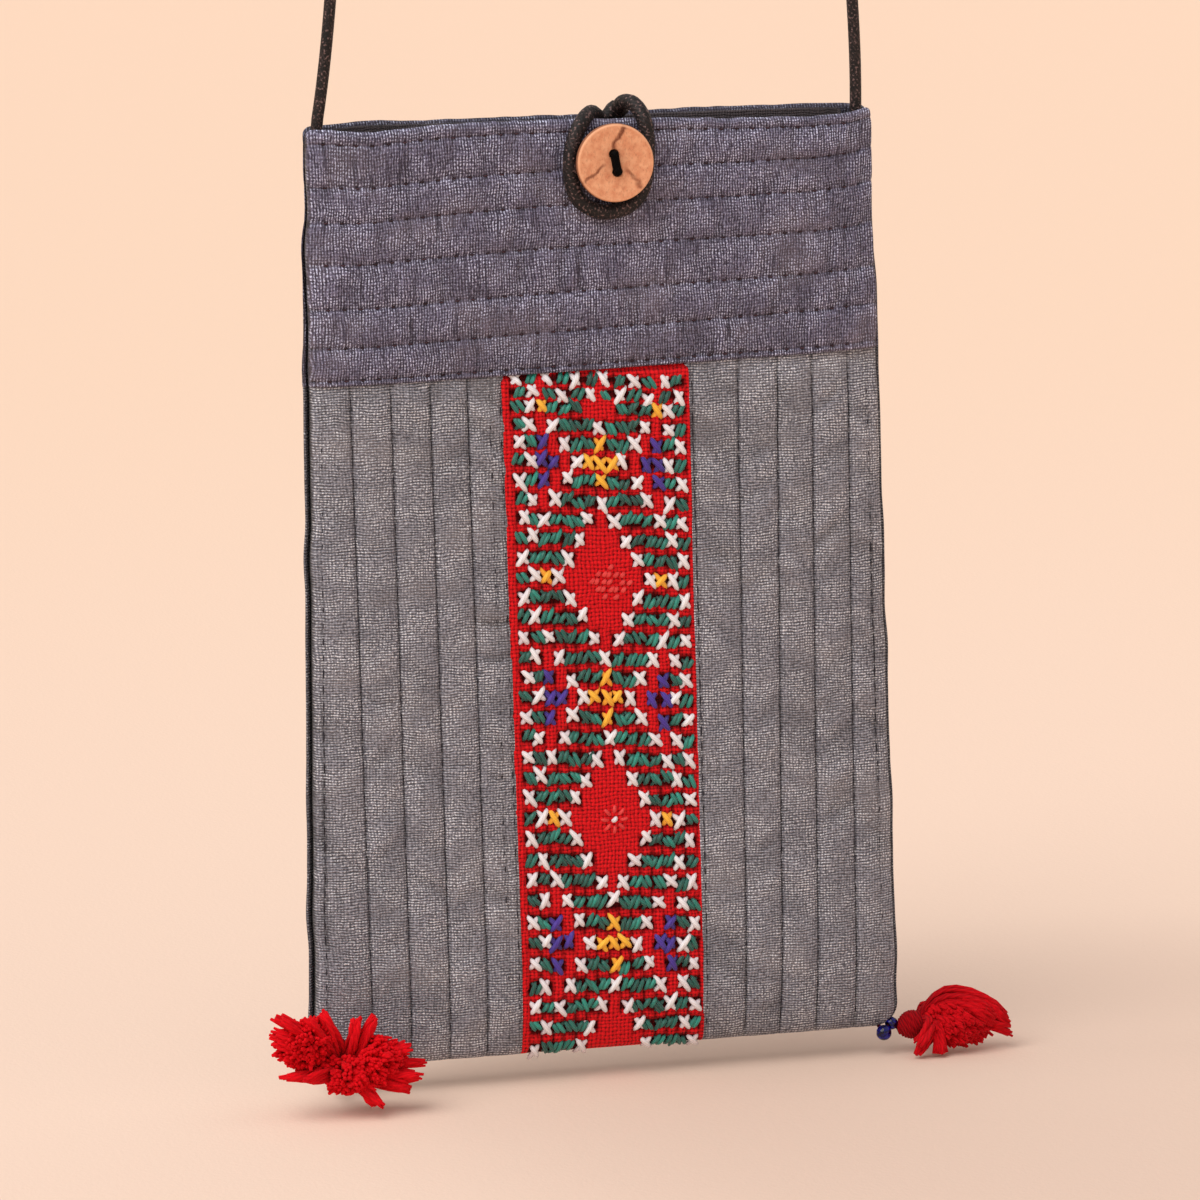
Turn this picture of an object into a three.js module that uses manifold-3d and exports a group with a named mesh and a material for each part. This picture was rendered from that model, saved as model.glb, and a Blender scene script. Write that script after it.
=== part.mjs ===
// Phone sling bag: a flat padded pouch with an embroidered strip down its front, a button and
// loop over its mouth, a long cord strap and a tassel at each bottom corner.
// Millimetres, +Z up, and the front faces -Y. The origin lies under the top of the strap, where
// the strap hangs from a hook or a shoulder.
import * as THREE from "three";
import { mergeVertices } from "three/addons/utils/BufferGeometryUtils.js";
import Module from "manifold-3d";

// Pouch: outline, cloth and the space between neighbouring pieces
const POUCH_HEIGHT = 190;
const MOUTH_WIDTH = 115;
const BASE_WIDTH = 122;
const CORNER_RADIUS = 5;
const GAP = 0.3;
const CLOTH_AT_STITCH = 1.5;
const PADDING = 0.8; // how far the cloth swells between two rows of stitches
const EDGE_FULLNESS = 0.75; // share of the padding left at an edge that no stitches hold down
const LINING_CLOTH = 1;

// Hollow: half its depth, how it narrows to the mouth and how it rounds off at the base
const BODY_HALF_DEPTH = 3.5;
const MOUTH_HALF_DEPTH = 2.7;
const MOUTH_TAPER = 45;
const BASE_ROUNDING = 22;
const LINING_INSET = 5.5; // from the side seam to the lining's side
const LINING_FLOOR = 5;

// Front: the yoke over the grey panels and the red strip between them
const YOKE_HEIGHT = 50;
const YOKE_ROWS = [2.4, 9.8, 16.7, 25, 33.8, 41.5, 48.6]; // rows of stitches, down from the mouth
const STRIP_WIDTH = 37;
const STRIP_CENTRE = { seam: -1.2, base: 0.2 };
const LEFT_LINES = [
  { seam: -50.5, base: -49.3 },
  { seam: -42.5, base: -41.5 },
  { seam: -34.7, base: -33.5 },
  { seam: -27.2, base: -25.8 },
];
const RIGHT_LINES = [
  { seam: 28.2, base: 28.1 },
  { seam: 36.4, base: 35.6 },
  { seam: 43.7, base: 43.3 },
  { seam: 51.4, base: 51.7 },
];
const BACK_LINES = 11;

// How far each top edge sags below the corners of the mouth, across the bag
const MOUTH_EDGE = [
  { across: -57.5, front: 0, back: 0 },
  { across: -51, front: 0.8, back: 0.1 },
  { across: -41, front: 0.2, back: 0.1 },
  { across: -18, front: -0.3, back: 1 },
  { across: 0, front: -0.1, back: 1.2 },
  { across: 15, front: 0.4, back: 0.9 },
  { across: 34, front: 1.1, back: 0.5 },
  { across: 45, front: 1.4, back: 0.3 },
  { across: 53, front: 1, back: 0.2 },
  { across: 57.5, front: 0, back: 0 },
];

// Strap: drop from the hang point to the mouth, and the bend over what holds it
const STRAP_DROP = 500;
const STRAP_RADIUS = 1.2;
const STRAP_BEND = 14;
const STRAP_FOOT = 55; // from the middle of the bag to the strap's end
const STRAP_TUCK = 10;
const STRAP_SWAY = { reach: 1.6, height: 40 }; // the slight lean of both sides near the bag

// Button, the thread through it and the loop round it
const BUTTON = { across: 2.6, below: 8.3, radius: 7.8, thickness: 2.4, dish: 0.35, round: 0.8 };
const BUTTON_STANDOFF = 3.3; // from the cloth to the back of the button, over the loop
const HOLE = { radius: 1.05, across: 0.3, up: 1.75 };
const STITCH_RADIUS = 0.65;
const LOOP_RADIUS = 1.25;
const LOOP_TUCK = 6;
const LOOP_ROUTE = [
  { across: -1.6, up: 8.4, y: 1 },
  { across: -2.6, up: 10.5, y: -2 },
  { across: -4.2, up: 10.3, y: -5.6 },
  { across: -6.3, up: 8.2, y: -8.1 },
  { across: -8.5, up: 3, y: -8.4 },
  { across: -8.7, up: -2.5, y: -8.5 },
  { across: -6.8, up: -7.2, y: -8.6 },
  { across: -2.2, up: -9.8, y: -8.7 },
  { across: 3, up: -8.8, y: -8.7 },
  { across: 6.4, up: -5.4, y: -8.6 },
  { across: 7.6, up: -0.5, y: -8.5 },
  { across: 7.6, up: 4.4, y: -8.4 },
  { across: 6.4, up: 8.8, y: -8 },
  { across: 4.6, up: 11.3, y: -4.4 },
  { across: 2.8, up: 11, y: -1.2 },
  { across: 1.6, up: 8.6, y: 1 },
];

// Tassels: where each is sewn on, its beads, its head and the spread of its skirt
const BEAD = { upper: 1.6, lower: 1.35, hole: 0.8 };
const THREAD_RADIUS = 0.42;
const HEAD = { radius: 2.9, length: 6, windings: 4, winding: 0.18 };
const LOCKS = { outer: 9, inner: 3, root: 1.4, tip: 3.1 };
const TASSELS = [
  {
    side: "left",
    sewn: [-56.4, -1.2, -0.75],
    beads: [[-57, -4.6, -0.8], [-57.4, -8.1, 0.5]],
    head: [-57.7, -13, 2.9],
    axis: [0, -0.92, 0.38],
    reach: 10,
    spread: { wide: 12.6, high: 7.2 },
  },
  {
    side: "right",
    sewn: [54.6, -1.2, -0.75],
    beads: [[57.8, -3.6, -1.6], [61.2, -2.8, -0.9]],
    head: [65.9, -2.2, 0.2],
    axis: [0.96, -0.22, 0.1],
    reach: 11,
    spread: { wide: 6.4, high: 3.8 },
  },
];

// Colours and finishes
const SLATE = new THREE.MeshStandardMaterial({ color: 0x6a6574, roughness: 0.6 });
const GREY = new THREE.MeshStandardMaterial({ color: 0x777472, roughness: 0.65 });
const RED = new THREE.MeshStandardMaterial({ color: 0xc81419, roughness: 0.85 });
const DARK_LINING = new THREE.MeshStandardMaterial({ color: 0x1d1a1e, roughness: 0.9 });
const BLACK_SATIN = new THREE.MeshStandardMaterial({ color: 0x231e1c, roughness: 0.45 });
const SHELL_TAN = new THREE.MeshStandardMaterial({ color: 0xd79669, roughness: 0.4 });
const BLUE_GLASS = new THREE.MeshStandardMaterial({ color: 0x141f66, roughness: 0.1 });

const wasm = await Module();
wasm.setup();

const { lerp, smoothstep } = THREE.MathUtils;
const vector = (list) => new THREE.Vector3(...list);

// Keeps only positions and joins shared corners, so that the surface is one closed skin.
function closed(geometry) {
  geometry.deleteAttribute("normal");
  geometry.deleteAttribute("uv");
  return mergeVertices(geometry, 1e-4);
}

function solidOf(geometry) {
  const skin = closed(geometry);
  return new wasm.Manifold(
    new wasm.Mesh({
      numProp: 3,
      vertProperties: skin.attributes.position.array,
      triVerts: new Uint32Array(skin.index.array),
    }),
  );
}

function geometryOf(solid) {
  const { vertProperties, triVerts } = solid.getMesh();
  const geometry = new THREE.BufferGeometry();
  geometry.setAttribute("position", new THREE.BufferAttribute(vertProperties, 3));
  geometry.setIndex(new THREE.BufferAttribute(triVerts, 1));
  return geometry;
}

function named(name, geometry, material) {
  const mesh = new THREE.Mesh(geometry, material);
  mesh.name = name;
  return mesh;
}

// Half the pouch's width at a height, with its bottom corners rounded.
function halfWidth(height) {
  const straight = lerp(BASE_WIDTH, MOUTH_WIDTH, height / POUCH_HEIGHT) / 2;
  const below = Math.max(0, CORNER_RADIUS - height);
  return straight - CORNER_RADIUS + Math.sqrt(CORNER_RADIUS ** 2 - below ** 2);
}

// Half the depth of the space inside the padded walls: full over the middle, falling to the seams
// at the sides and base, and a little narrower at the mouth.
function wallDepth(x, height) {
  const belowRound = 1 - Math.min(1, height / BASE_ROUNDING);
  const body = BODY_HALF_DEPTH * Math.sqrt(1 - belowRound ** 2);
  const atMouth = smoothstep(height, POUCH_HEIGHT - MOUTH_TAPER, POUCH_HEIGHT);
  const extra = (LINING_CLOTH + GAP) * Math.sqrt(1 - belowRound ** 2);
  const across = Math.min(1, Math.abs(x) / halfWidth(height));
  const middle = lerp(body, MOUTH_HALF_DEPTH, atMouth) + extra;
  return GAP / 2 + middle * Math.sqrt(1 - across ** 4);
}

// Sag of one top edge, from the table, fading out down the yoke.
function sag(face, x, belowMouth) {
  const next = Math.max(1, MOUTH_EDGE.findIndex((row) => row.across >= x));
  const [low, high] = [MOUTH_EDGE[next - 1], MOUTH_EDGE[next]];
  const share = THREE.MathUtils.clamp((x - low.across) / (high.across - low.across), 0, 1);
  return lerp(low[face], high[face], share) * Math.max(0, 1 - belowMouth / YOKE_HEIGHT);
}

// Swell of the padding across one rib, 0 at a row of stitches and 1 at the crown.
function fullness(share, freeStart, freeEnd) {
  const crown = Math.sin(Math.PI * share);
  const free = share < 0.5 ? freeStart : freeEnd;
  return free ? lerp(EDGE_FULLNESS, 1, crown) : crown;
}

// A padded slab: a grid of box cells whose corners `place` moves on to the cloth.
function slab(columns, rows, place) {
  const grid = new THREE.BoxGeometry(1, 1, 1, columns, rows, 1);
  const corner = grid.getAttribute("position");
  for (let i = 0; i < corner.count; i++) {
    const column = Math.round((corner.getX(i) + 0.5) * columns);
    const row = Math.round((corner.getY(i) + 0.5) * rows);
    corner.setXYZ(i, ...place(column, row, corner.getZ(i) > 0).toArray());
  }
  return closed(grid);
}

// A point on one face of a wall. The front lies at -Y and the back at +Y.
function onWall(face, x, height, swell, outer) {
  const cloth = outer ? CLOTH_AT_STITCH + PADDING * swell : 0;
  const depth = wallDepth(x, height) + cloth;
  return new THREE.Vector3(x, face === "front" ? -depth : depth, height);
}

// The band over the top of one wall, with a rib between each two rows of stitches.
function yoke(face, columns, stepsPerRib) {
  const rows = [0, ...YOKE_ROWS, YOKE_HEIGHT].reverse();
  const last = rows.length - 2;
  return slab(columns, (rows.length - 1) * stepsPerRib, (column, row, outer) => {
    const rib = Math.min(last, Math.floor(row / stepsPerRib));
    const share = row / stepsPerRib - rib;
    const below = lerp(rows[rib], rows[rib + 1], share);
    const level = POUCH_HEIGHT - below;
    const side = face === "front" ? 1 : -1;
    const turn = (Math.PI / 2) * lerp(-1, 1, column / columns); // columns crowd at the side seams
    const x = side * Math.sin(turn) * halfWidth(level);
    const swell = fullness(share, rib === 0, rib === last);
    return onWall(face, x, level - sag(face, x, below), swell, outer);
  });
}

// A panel below the yoke, with a rib between each two upright lines given as functions of height.
function panel(face, lines, stepsPerRib, rows, freeStart, freeEnd) {
  const top = POUCH_HEIGHT - YOKE_HEIGHT - GAP;
  const ribs = lines.length - 1;
  return slab(ribs * stepsPerRib, rows, (column, row, outer) => {
    const height = top * (row / rows) ** 1.7;
    const rib = Math.min(ribs - 1, Math.floor(column / stepsPerRib));
    const share = column / stepsPerRib - rib;
    const x = lerp(lines[rib](height), lines[rib + 1](height), share);
    const swell = fullness(share, freeStart && rib === 0, freeEnd && rib === ribs - 1);
    return onWall(face, x, height, swell, outer);
  });
}

// A slanting line from its place at the base to its place at the yoke seam.
const slanting = ({ seam, base }, offset = 0) => (height) =>
  lerp(base, seam, height / (POUCH_HEIGHT - YOKE_HEIGHT)) + offset;

// The inner bag: a cup turned round its axis, then flattened to lie inside the padded walls.
function liningBag() {
  const steps = [0, 0.03, 0.08, 0.3, 0.65, 0.8, 0.9, 1];
  const outside = steps.map((step) => new THREE.Vector2(1, step));
  const inside = steps.map((step) => new THREE.Vector2(0.5, step)).reverse();
  const profile = [new THREE.Vector2(0, 0), ...outside, ...inside, new THREE.Vector2(0, 0)];
  const cup = new THREE.LatheGeometry(profile, 24);
  const corner = cup.getAttribute("position");
  const onAxis = 1e-6;
  for (let i = 0; i < corner.count; i++) {
    const ring = i % profile.length;
    const inner = ring > steps.length;
    const radius = Math.hypot(corner.getX(i), corner.getZ(i));
    const turn = radius > onAxis ? corner.getX(i) / radius : 0;
    const cloth = inner ? LINING_CLOTH : 0;
    const level = lerp(LINING_FLOOR + cloth, POUCH_HEIGHT - 1, corner.getY(i));
    const reach = halfWidth(level) - LINING_INSET - cloth;
    const x = radius > onAxis ? reach * turn : 0;
    const face = corner.getZ(i) > 0 ? "front" : "back";
    const hem = Math.sqrt(Math.max(0, 1 - turn ** 8));
    const depth = radius > onAxis ? (wallDepth(x, level) - GAP - cloth) * hem : 0;
    const height = level - sag(face, x, POUCH_HEIGHT - level);
    corner.setXYZ(i, x, face === "front" ? -depth : depth, height);
  }
  return closed(cup);
}

// A round section for a cord.
function roundSection(radius, sides) {
  const corners = Array.from({ length: sides }, (_, i) => {
    const angle = (2 * Math.PI * i) / sides;
    return new THREE.Vector2(radius * Math.cos(angle), radius * Math.sin(angle));
  });
  return new THREE.Shape(corners);
}

function cordAlong(path, radius, sides, steps) {
  const section = roundSection(radius, sides);
  return closed(
    new THREE.ExtrudeGeometry(section, { extrudePath: path, steps, bevelEnabled: false }),
  );
}

// The strap's centre line: up one side, round a half bend at the hang point and down the other.
class StrapLine extends THREE.Curve {
  constructor() {
    super();
    const rise = STRAP_DROP + STRAP_RADIUS - STRAP_BEND;
    const slant = Math.hypot(STRAP_FOOT, rise);
    this.lean = Math.asin(STRAP_FOOT / slant) - Math.asin(STRAP_BEND / slant);
    this.centre = STRAP_RADIUS - STRAP_BEND;
    this.side = 0.36; // share of the steps along each side
  }

  // The steps follow the curve's own parameter, so that they crowd together round the bend.
  getUtoTmapping(share) {
    return share;
  }

  getPoint(share, target = new THREE.Vector3()) {
    const hand = share < 0.5 ? -1 : 1;
    const along = Math.min(share, 1 - share);
    if (along < this.side) return this.onSide(hand, along / this.side, target);
    const half = (along - this.side) / (0.5 - this.side);
    const angle = lerp(this.lean, Math.PI / 2, half);
    const out = STRAP_BEND * Math.cos(angle);
    return target.set(hand * out, 0, this.centre + STRAP_BEND * Math.sin(angle));
  }

  onSide(hand, share, target) {
    const topX = STRAP_BEND * Math.cos(this.lean);
    const topZ = this.centre + STRAP_BEND * Math.sin(this.lean);
    const z = lerp(-STRAP_DROP - STRAP_TUCK, topZ, share);
    const above = Math.max(0, z + STRAP_DROP);
    const x = Math.min(STRAP_FOOT, topX + (topZ - z) * Math.tan(this.lean));
    const { reach, height } = STRAP_SWAY;
    const sway = reach * (above / height) * Math.exp(1 - above / height);
    return target.set(hand * x + sway, 0, z);
  }
}

// The button: a turned disc with a slightly dished face, drilled with two holes.
function buttonDisc() {
  const { radius, thickness, dish, round } = BUTTON;
  const profile = [
    new THREE.Vector2(0, 0),
    new THREE.Vector2(radius - round, 0),
    new THREE.Vector2(radius - 0.3 * round, 0.3 * round),
    new THREE.Vector2(radius, thickness / 2),
    new THREE.Vector2(radius - 0.3 * round, thickness - 0.3 * round),
    new THREE.Vector2(radius - round, thickness),
    new THREE.Vector2(0.6 * radius, thickness - 0.7 * dish),
    new THREE.Vector2(0, thickness - dish),
  ];
  let disc = solidOf(new THREE.LatheGeometry(profile, 30));
  for (const hand of [-1, 1]) {
    const drill = new THREE.CylinderGeometry(HOLE.radius, HOLE.radius, 3 * thickness, 12);
    drill.translate(-hand * HOLE.across, 0, -hand * HOLE.up);
    disc = disc.subtract(solidOf(drill));
  }
  return geometryOf(disc);
}

// A bead: a ball turned round its hole.
function bead(radius) {
  const edge = Math.asin(BEAD.hole / radius);
  const rows = 7;
  const profile = Array.from({ length: rows + 1 }, (_, i) => {
    const angle = lerp(Math.PI - edge, edge, i / rows);
    return new THREE.Vector2(radius * Math.sin(angle), radius * Math.cos(angle));
  });
  return closed(new THREE.LatheGeometry([...profile, profile[0].clone()], 12));
}

// Bends an upright cylinder along a curve, for one lock of a tassel's skirt.
function lock(curve, rootRadius, tipRadius) {
  const straight = new THREE.CylinderGeometry(tipRadius, rootRadius, 1, 6, 2);
  const corner = straight.getAttribute("position");
  const side = new THREE.Vector3(0.31, 0.17, 0.93).normalize();
  for (let i = 0; i < corner.count; i++) {
    const share = corner.getY(i) + 0.5;
    const along = curve.getTangent(share);
    const across = new THREE.Vector3().crossVectors(along, side).normalize();
    const third = new THREE.Vector3().crossVectors(across, along);
    const at = curve.getPoint(share);
    at.addScaledVector(across, corner.getX(i)).addScaledVector(third, corner.getZ(i));
    corner.setXYZ(i, ...at.toArray());
  }
  return solidOf(straight);
}

// A tassel: a wound head, and locks that spread from it in two rings round one in the middle.
function tassel({ head, axis, reach, spread }) {
  const along = vector(axis).normalize();
  const wide = new THREE.Vector3().crossVectors(along, new THREE.Vector3(0, 0, 1)).normalize();
  const high = new THREE.Vector3().crossVectors(wide, along);
  const centre = vector(head);
  const rows = 4 * HEAD.windings;
  const profile = Array.from({ length: rows + 1 }, (_, i) => {
    const share = i / rows;
    const ball = HEAD.radius * Math.sin(Math.PI * share) ** 0.6;
    const ridge = HEAD.winding * Math.cos(2 * Math.PI * HEAD.windings * share);
    const inner = i > 0 && i < rows;
    return new THREE.Vector2(inner ? ball + ridge : 0, HEAD.length * (share - 0.5));
  });
  const turned = new THREE.LatheGeometry(profile, 12);
  turned.applyQuaternion(
    new THREE.Quaternion().setFromUnitVectors(new THREE.Vector3(0, 1, 0), along),
  );
  let body = solidOf(turned.translate(head[0], head[1], head[2]));
  const root = centre.clone().addScaledVector(along, 0.25 * HEAD.length);
  const rings = [
    { count: LOCKS.outer, share: 1, length: reach },
    { count: LOCKS.inner, share: 0.42, length: 1.12 * reach },
    { count: 1, share: 0, length: 1.15 * reach },
  ];
  for (const { count, share, length } of rings)
    for (let i = 0; i < count; i++) {
      const angle = (2 * Math.PI * (i + 0.3)) / count;
      const out = new THREE.Vector3()
        .addScaledVector(wide, share * spread.wide * Math.cos(angle))
        .addScaledVector(high, share * spread.high * Math.sin(angle));
      const middle = root.clone().addScaledVector(along, 0.55 * length).addScaledVector(out, 0.35);
      const tip = root.clone().addScaledVector(along, length).add(out);
      const curve = new THREE.QuadraticBezierCurve3(root, middle, tip);
      body = body.add(lock(curve, LOCKS.root, LOCKS.tip));
    }
  return geometryOf(body);
}

const bag = new THREE.Group();
const pouch = new THREE.Group();
pouch.position.z = -STRAP_DROP - POUCH_HEIGHT;
bag.add(pouch);

// Walls of the pouch
const stripLeft = slanting(STRIP_CENTRE, -STRIP_WIDTH / 2);
const stripRight = slanting(STRIP_CENTRE, STRIP_WIDTH / 2);
const leftLines = [
  (height) => -halfWidth(height),
  ...LEFT_LINES.map((line) => slanting(line)),
  (height) => stripLeft(height) - GAP,
];
const rightLines = [
  (height) => stripRight(height) + GAP,
  ...RIGHT_LINES.map((line) => slanting(line)),
  halfWidth,
];
const backLines = Array.from({ length: BACK_LINES + 1 }, (_, i) => (height) =>
  lerp(1, -1, i / BACK_LINES) * halfWidth(height),
);
pouch.add(
  named("front_yoke", yoke("front", 16, 3), SLATE),
  named("front_left_panel", panel("front", leftLines, 3, 12, true, false), GREY),
  named("front_right_panel", panel("front", rightLines, 3, 12, false, true), GREY),
  named("embroidered_strip", panel("front", [stripLeft, stripRight], 6, 12, true, true), RED),
  named("back_yoke", yoke("back", 12, 2), SLATE),
  named("back_panel", panel("back", backLines, 2, 10, true, true), GREY),
  named("lining", liningBag(), DARK_LINING),
);

// Strap
bag.add(named("strap", cordAlong(new StrapLine(), STRAP_RADIUS, 8, 60), BLACK_SATIN));

// Button, standing off the cloth by the thickness of the loop behind it
const buttonHeight = POUCH_HEIGHT - BUTTON.below;
const clothAtButton = -wallDepth(BUTTON.across, buttonHeight) - CLOTH_AT_STITCH - PADDING;
const buttonBack = clothAtButton - BUTTON_STANDOFF;
const button = named("button", buttonDisc(), SHELL_TAN);
button.position.set(BUTTON.across, buttonBack, buttonHeight);
button.rotation.x = Math.PI;
pouch.add(button);

const stitchFront = buttonBack - BUTTON.thickness - STITCH_RADIUS - 0.1;
const stitchCorner = (hand, y) =>
  new THREE.Vector3(BUTTON.across - hand * HOLE.across, y, buttonHeight + hand * HOLE.up);
const stitchLine = new THREE.CatmullRomCurve3([
  stitchCorner(1, clothAtButton - GAP),
  stitchCorner(1, buttonBack),
  stitchCorner(1, buttonBack - BUTTON.thickness),
  stitchCorner(0.72, stitchFront - 0.2),
  stitchCorner(-0.72, stitchFront - 0.2),
  stitchCorner(-1, buttonBack - BUTTON.thickness),
  stitchCorner(-1, buttonBack),
  stitchCorner(-1, clothAtButton - GAP),
]);
pouch.add(named("button_stitch", cordAlong(stitchLine, STITCH_RADIUS, 6, 18), BLACK_SATIN));

const loopPoint = ({ across, up, y }) =>
  new THREE.Vector3(BUTTON.across + across, y, buttonHeight + up);
const loopEnds = [LOOP_ROUTE[0], LOOP_ROUTE[LOOP_ROUTE.length - 1]].map((end) =>
  loopPoint({ ...end, up: BUTTON.below - LOOP_TUCK }),
);
const loopLine = new THREE.CatmullRomCurve3([
  loopEnds[0],
  ...LOOP_ROUTE.map(loopPoint),
  loopEnds[1],
]);
pouch.add(named("button_loop", cordAlong(loopLine, LOOP_RADIUS, 8, 40), BLACK_SATIN));

// Thread, beads and tassel at each bottom corner
for (const corner of TASSELS) {
  const { side, sewn, beads, head, axis } = corner;
  const neck = vector(head).addScaledVector(vector(axis).normalize(), -HEAD.length / 2 - GAP);
  const line = new THREE.CatmullRomCurve3([vector(sewn), ...beads.map(vector), neck]);
  pouch.add(named(`thread_${side}`, cordAlong(line, THREAD_RADIUS, 6, 9), RED));
  beads.forEach((place, i) => {
    const which = i === 0 ? "upper" : "lower";
    const glass = named(`bead_${side}_${which}`, bead(BEAD[which]), BLUE_GLASS);
    glass.position.set(...place);
    const along = line.getTangent((i + 1) / (beads.length + 1));
    glass.quaternion.setFromUnitVectors(new THREE.Vector3(0, 1, 0), along);
    pouch.add(glass);
  });
  pouch.add(named(`tassel_${side}`, tassel(corner), RED));
}

export default bag;
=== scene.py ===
"""Dresses the phone sling bag: padded silk walls, a cross-stitched strip, cords, button, beads and tassels.

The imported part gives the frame: metres, +Z up, the front towards -Y and the origin under the top of the
strap. Each class makes one sub-assembly in the place of the solids that it replaces. Sizes are in
millimetres times MM, tables and cloth coordinates are in plain millimetres, and levels are heights above
the base of the pouch.
"""

import logging
import math
from collections.abc import Sequence
from dataclasses import dataclass
from enum import Enum

import bpy
import numpy as np
from mathutils import Matrix, Vector

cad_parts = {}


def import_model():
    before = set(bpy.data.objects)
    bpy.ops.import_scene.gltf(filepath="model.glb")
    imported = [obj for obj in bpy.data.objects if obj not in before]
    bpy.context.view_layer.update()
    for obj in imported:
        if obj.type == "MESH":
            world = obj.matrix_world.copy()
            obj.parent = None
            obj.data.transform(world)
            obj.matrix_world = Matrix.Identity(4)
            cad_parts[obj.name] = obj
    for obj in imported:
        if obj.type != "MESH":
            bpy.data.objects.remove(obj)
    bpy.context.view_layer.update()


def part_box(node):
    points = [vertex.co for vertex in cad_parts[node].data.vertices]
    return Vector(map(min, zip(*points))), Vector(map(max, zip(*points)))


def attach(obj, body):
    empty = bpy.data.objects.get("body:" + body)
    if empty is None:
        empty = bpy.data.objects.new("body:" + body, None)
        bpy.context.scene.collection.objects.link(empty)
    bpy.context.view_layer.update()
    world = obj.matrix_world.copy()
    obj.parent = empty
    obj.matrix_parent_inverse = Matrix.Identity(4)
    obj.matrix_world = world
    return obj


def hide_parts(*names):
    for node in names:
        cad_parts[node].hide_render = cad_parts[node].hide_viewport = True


LOG = logging.getLogger("phone_sling_bag")
MM = 0.001
BODY = "root"
UV_NAME = "cloth"
SHADE_NAME = "shade"

Array = np.ndarray
Colour = tuple[float, float, float, float]
Material = bpy.types.Material
Point = tuple[float, float, float]
Table = tuple[tuple[float, ...], ...]

BUTTON_RADIUS = 7.8 * MM
THREAD_SIDES = 6
GOLDEN_ANGLE = 2.39996
FORWARD = np.array([0.0, -1.0, 0.0])
RIGHT = np.array([1.0, 0.0, 0.0])
UP = np.array([0.0, 0.0, 1.0])

# A direction that no thread and no bead's hole runs along
ASKEW = np.array([0.31, 0.17, 0.93])


# Shader expressions


def paint_colour(red: int, green: int, blue: int) -> Colour:
    """Turns a colour as seen on a screen, 0 to 255, into the light values that a shader takes."""
    share = np.array([red, green, blue]) / 255
    light = np.where(share <= 0.04045, share / 12.92, ((share + 0.055) / 1.055) ** 2.4)
    return (float(light[0]), float(light[1]), float(light[2]), 1.0)


class Wire:
    """A shader socket that takes part in Python expressions on single values."""

    def __init__(self, paint: "Paint", socket: bpy.types.NodeSocket) -> None:
        """Keeps the socket and the paint whose tree it stands in."""
        self.paint = paint
        self.socket = socket

    def math(self, operation: str, first: "Wire | float", second: "Wire | float" = 0.0) -> "Wire":
        """Adds a Math node.

        Args:
            operation: the Math node's own name for what it does.
            first: its first value.
            second: its second value, for an operation that has one.

        Returns:
            The node's result.
        """
        return self.paint.node("ShaderNodeMath", {"operation": operation}, {0: first, 1: second})

    def __add__(self, other: "Wire | float") -> "Wire":
        """Adds two values."""
        return self.math("ADD", self, other)

    __radd__ = __add__

    def __sub__(self, other: "Wire | float") -> "Wire":
        """Takes a value from this one."""
        return self.math("SUBTRACT", self, other)

    def __rsub__(self, other: float) -> "Wire":
        """Takes this value from a number."""
        return self.math("SUBTRACT", other, self)

    def __mul__(self, other: "Wire | float") -> "Wire":
        """Multiplies two values."""
        return self.math("MULTIPLY", self, other)

    __rmul__ = __mul__

    def __pow__(self, power: float) -> "Wire":
        """Raises this value to a power."""
        return self.math("POWER", self, power)

    def sine(self) -> "Wire":
        """Gives the sine of this value."""
        return self.math("SINE", self)

    def wave(self, turn: float) -> "Wire":
        """Gives a sine from 0 to 1 of this value times a turn in radians."""
        return (self * turn).sine() * 0.5 + 0.5

    def size(self) -> "Wire":
        """Gives this value without its sign."""
        return self.math("ABSOLUTE", self)

    def step(self, low: float, high: float) -> "Wire":
        """Climbs smoothly from 0 at low to 1 at high, or falls where low is the larger."""
        return self.paint.node(
            "ShaderNodeMapRange",
            {"interpolation_type": "SMOOTHSTEP"},
            {"Value": self, "From Min": low, "From Max": high},
        )


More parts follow.
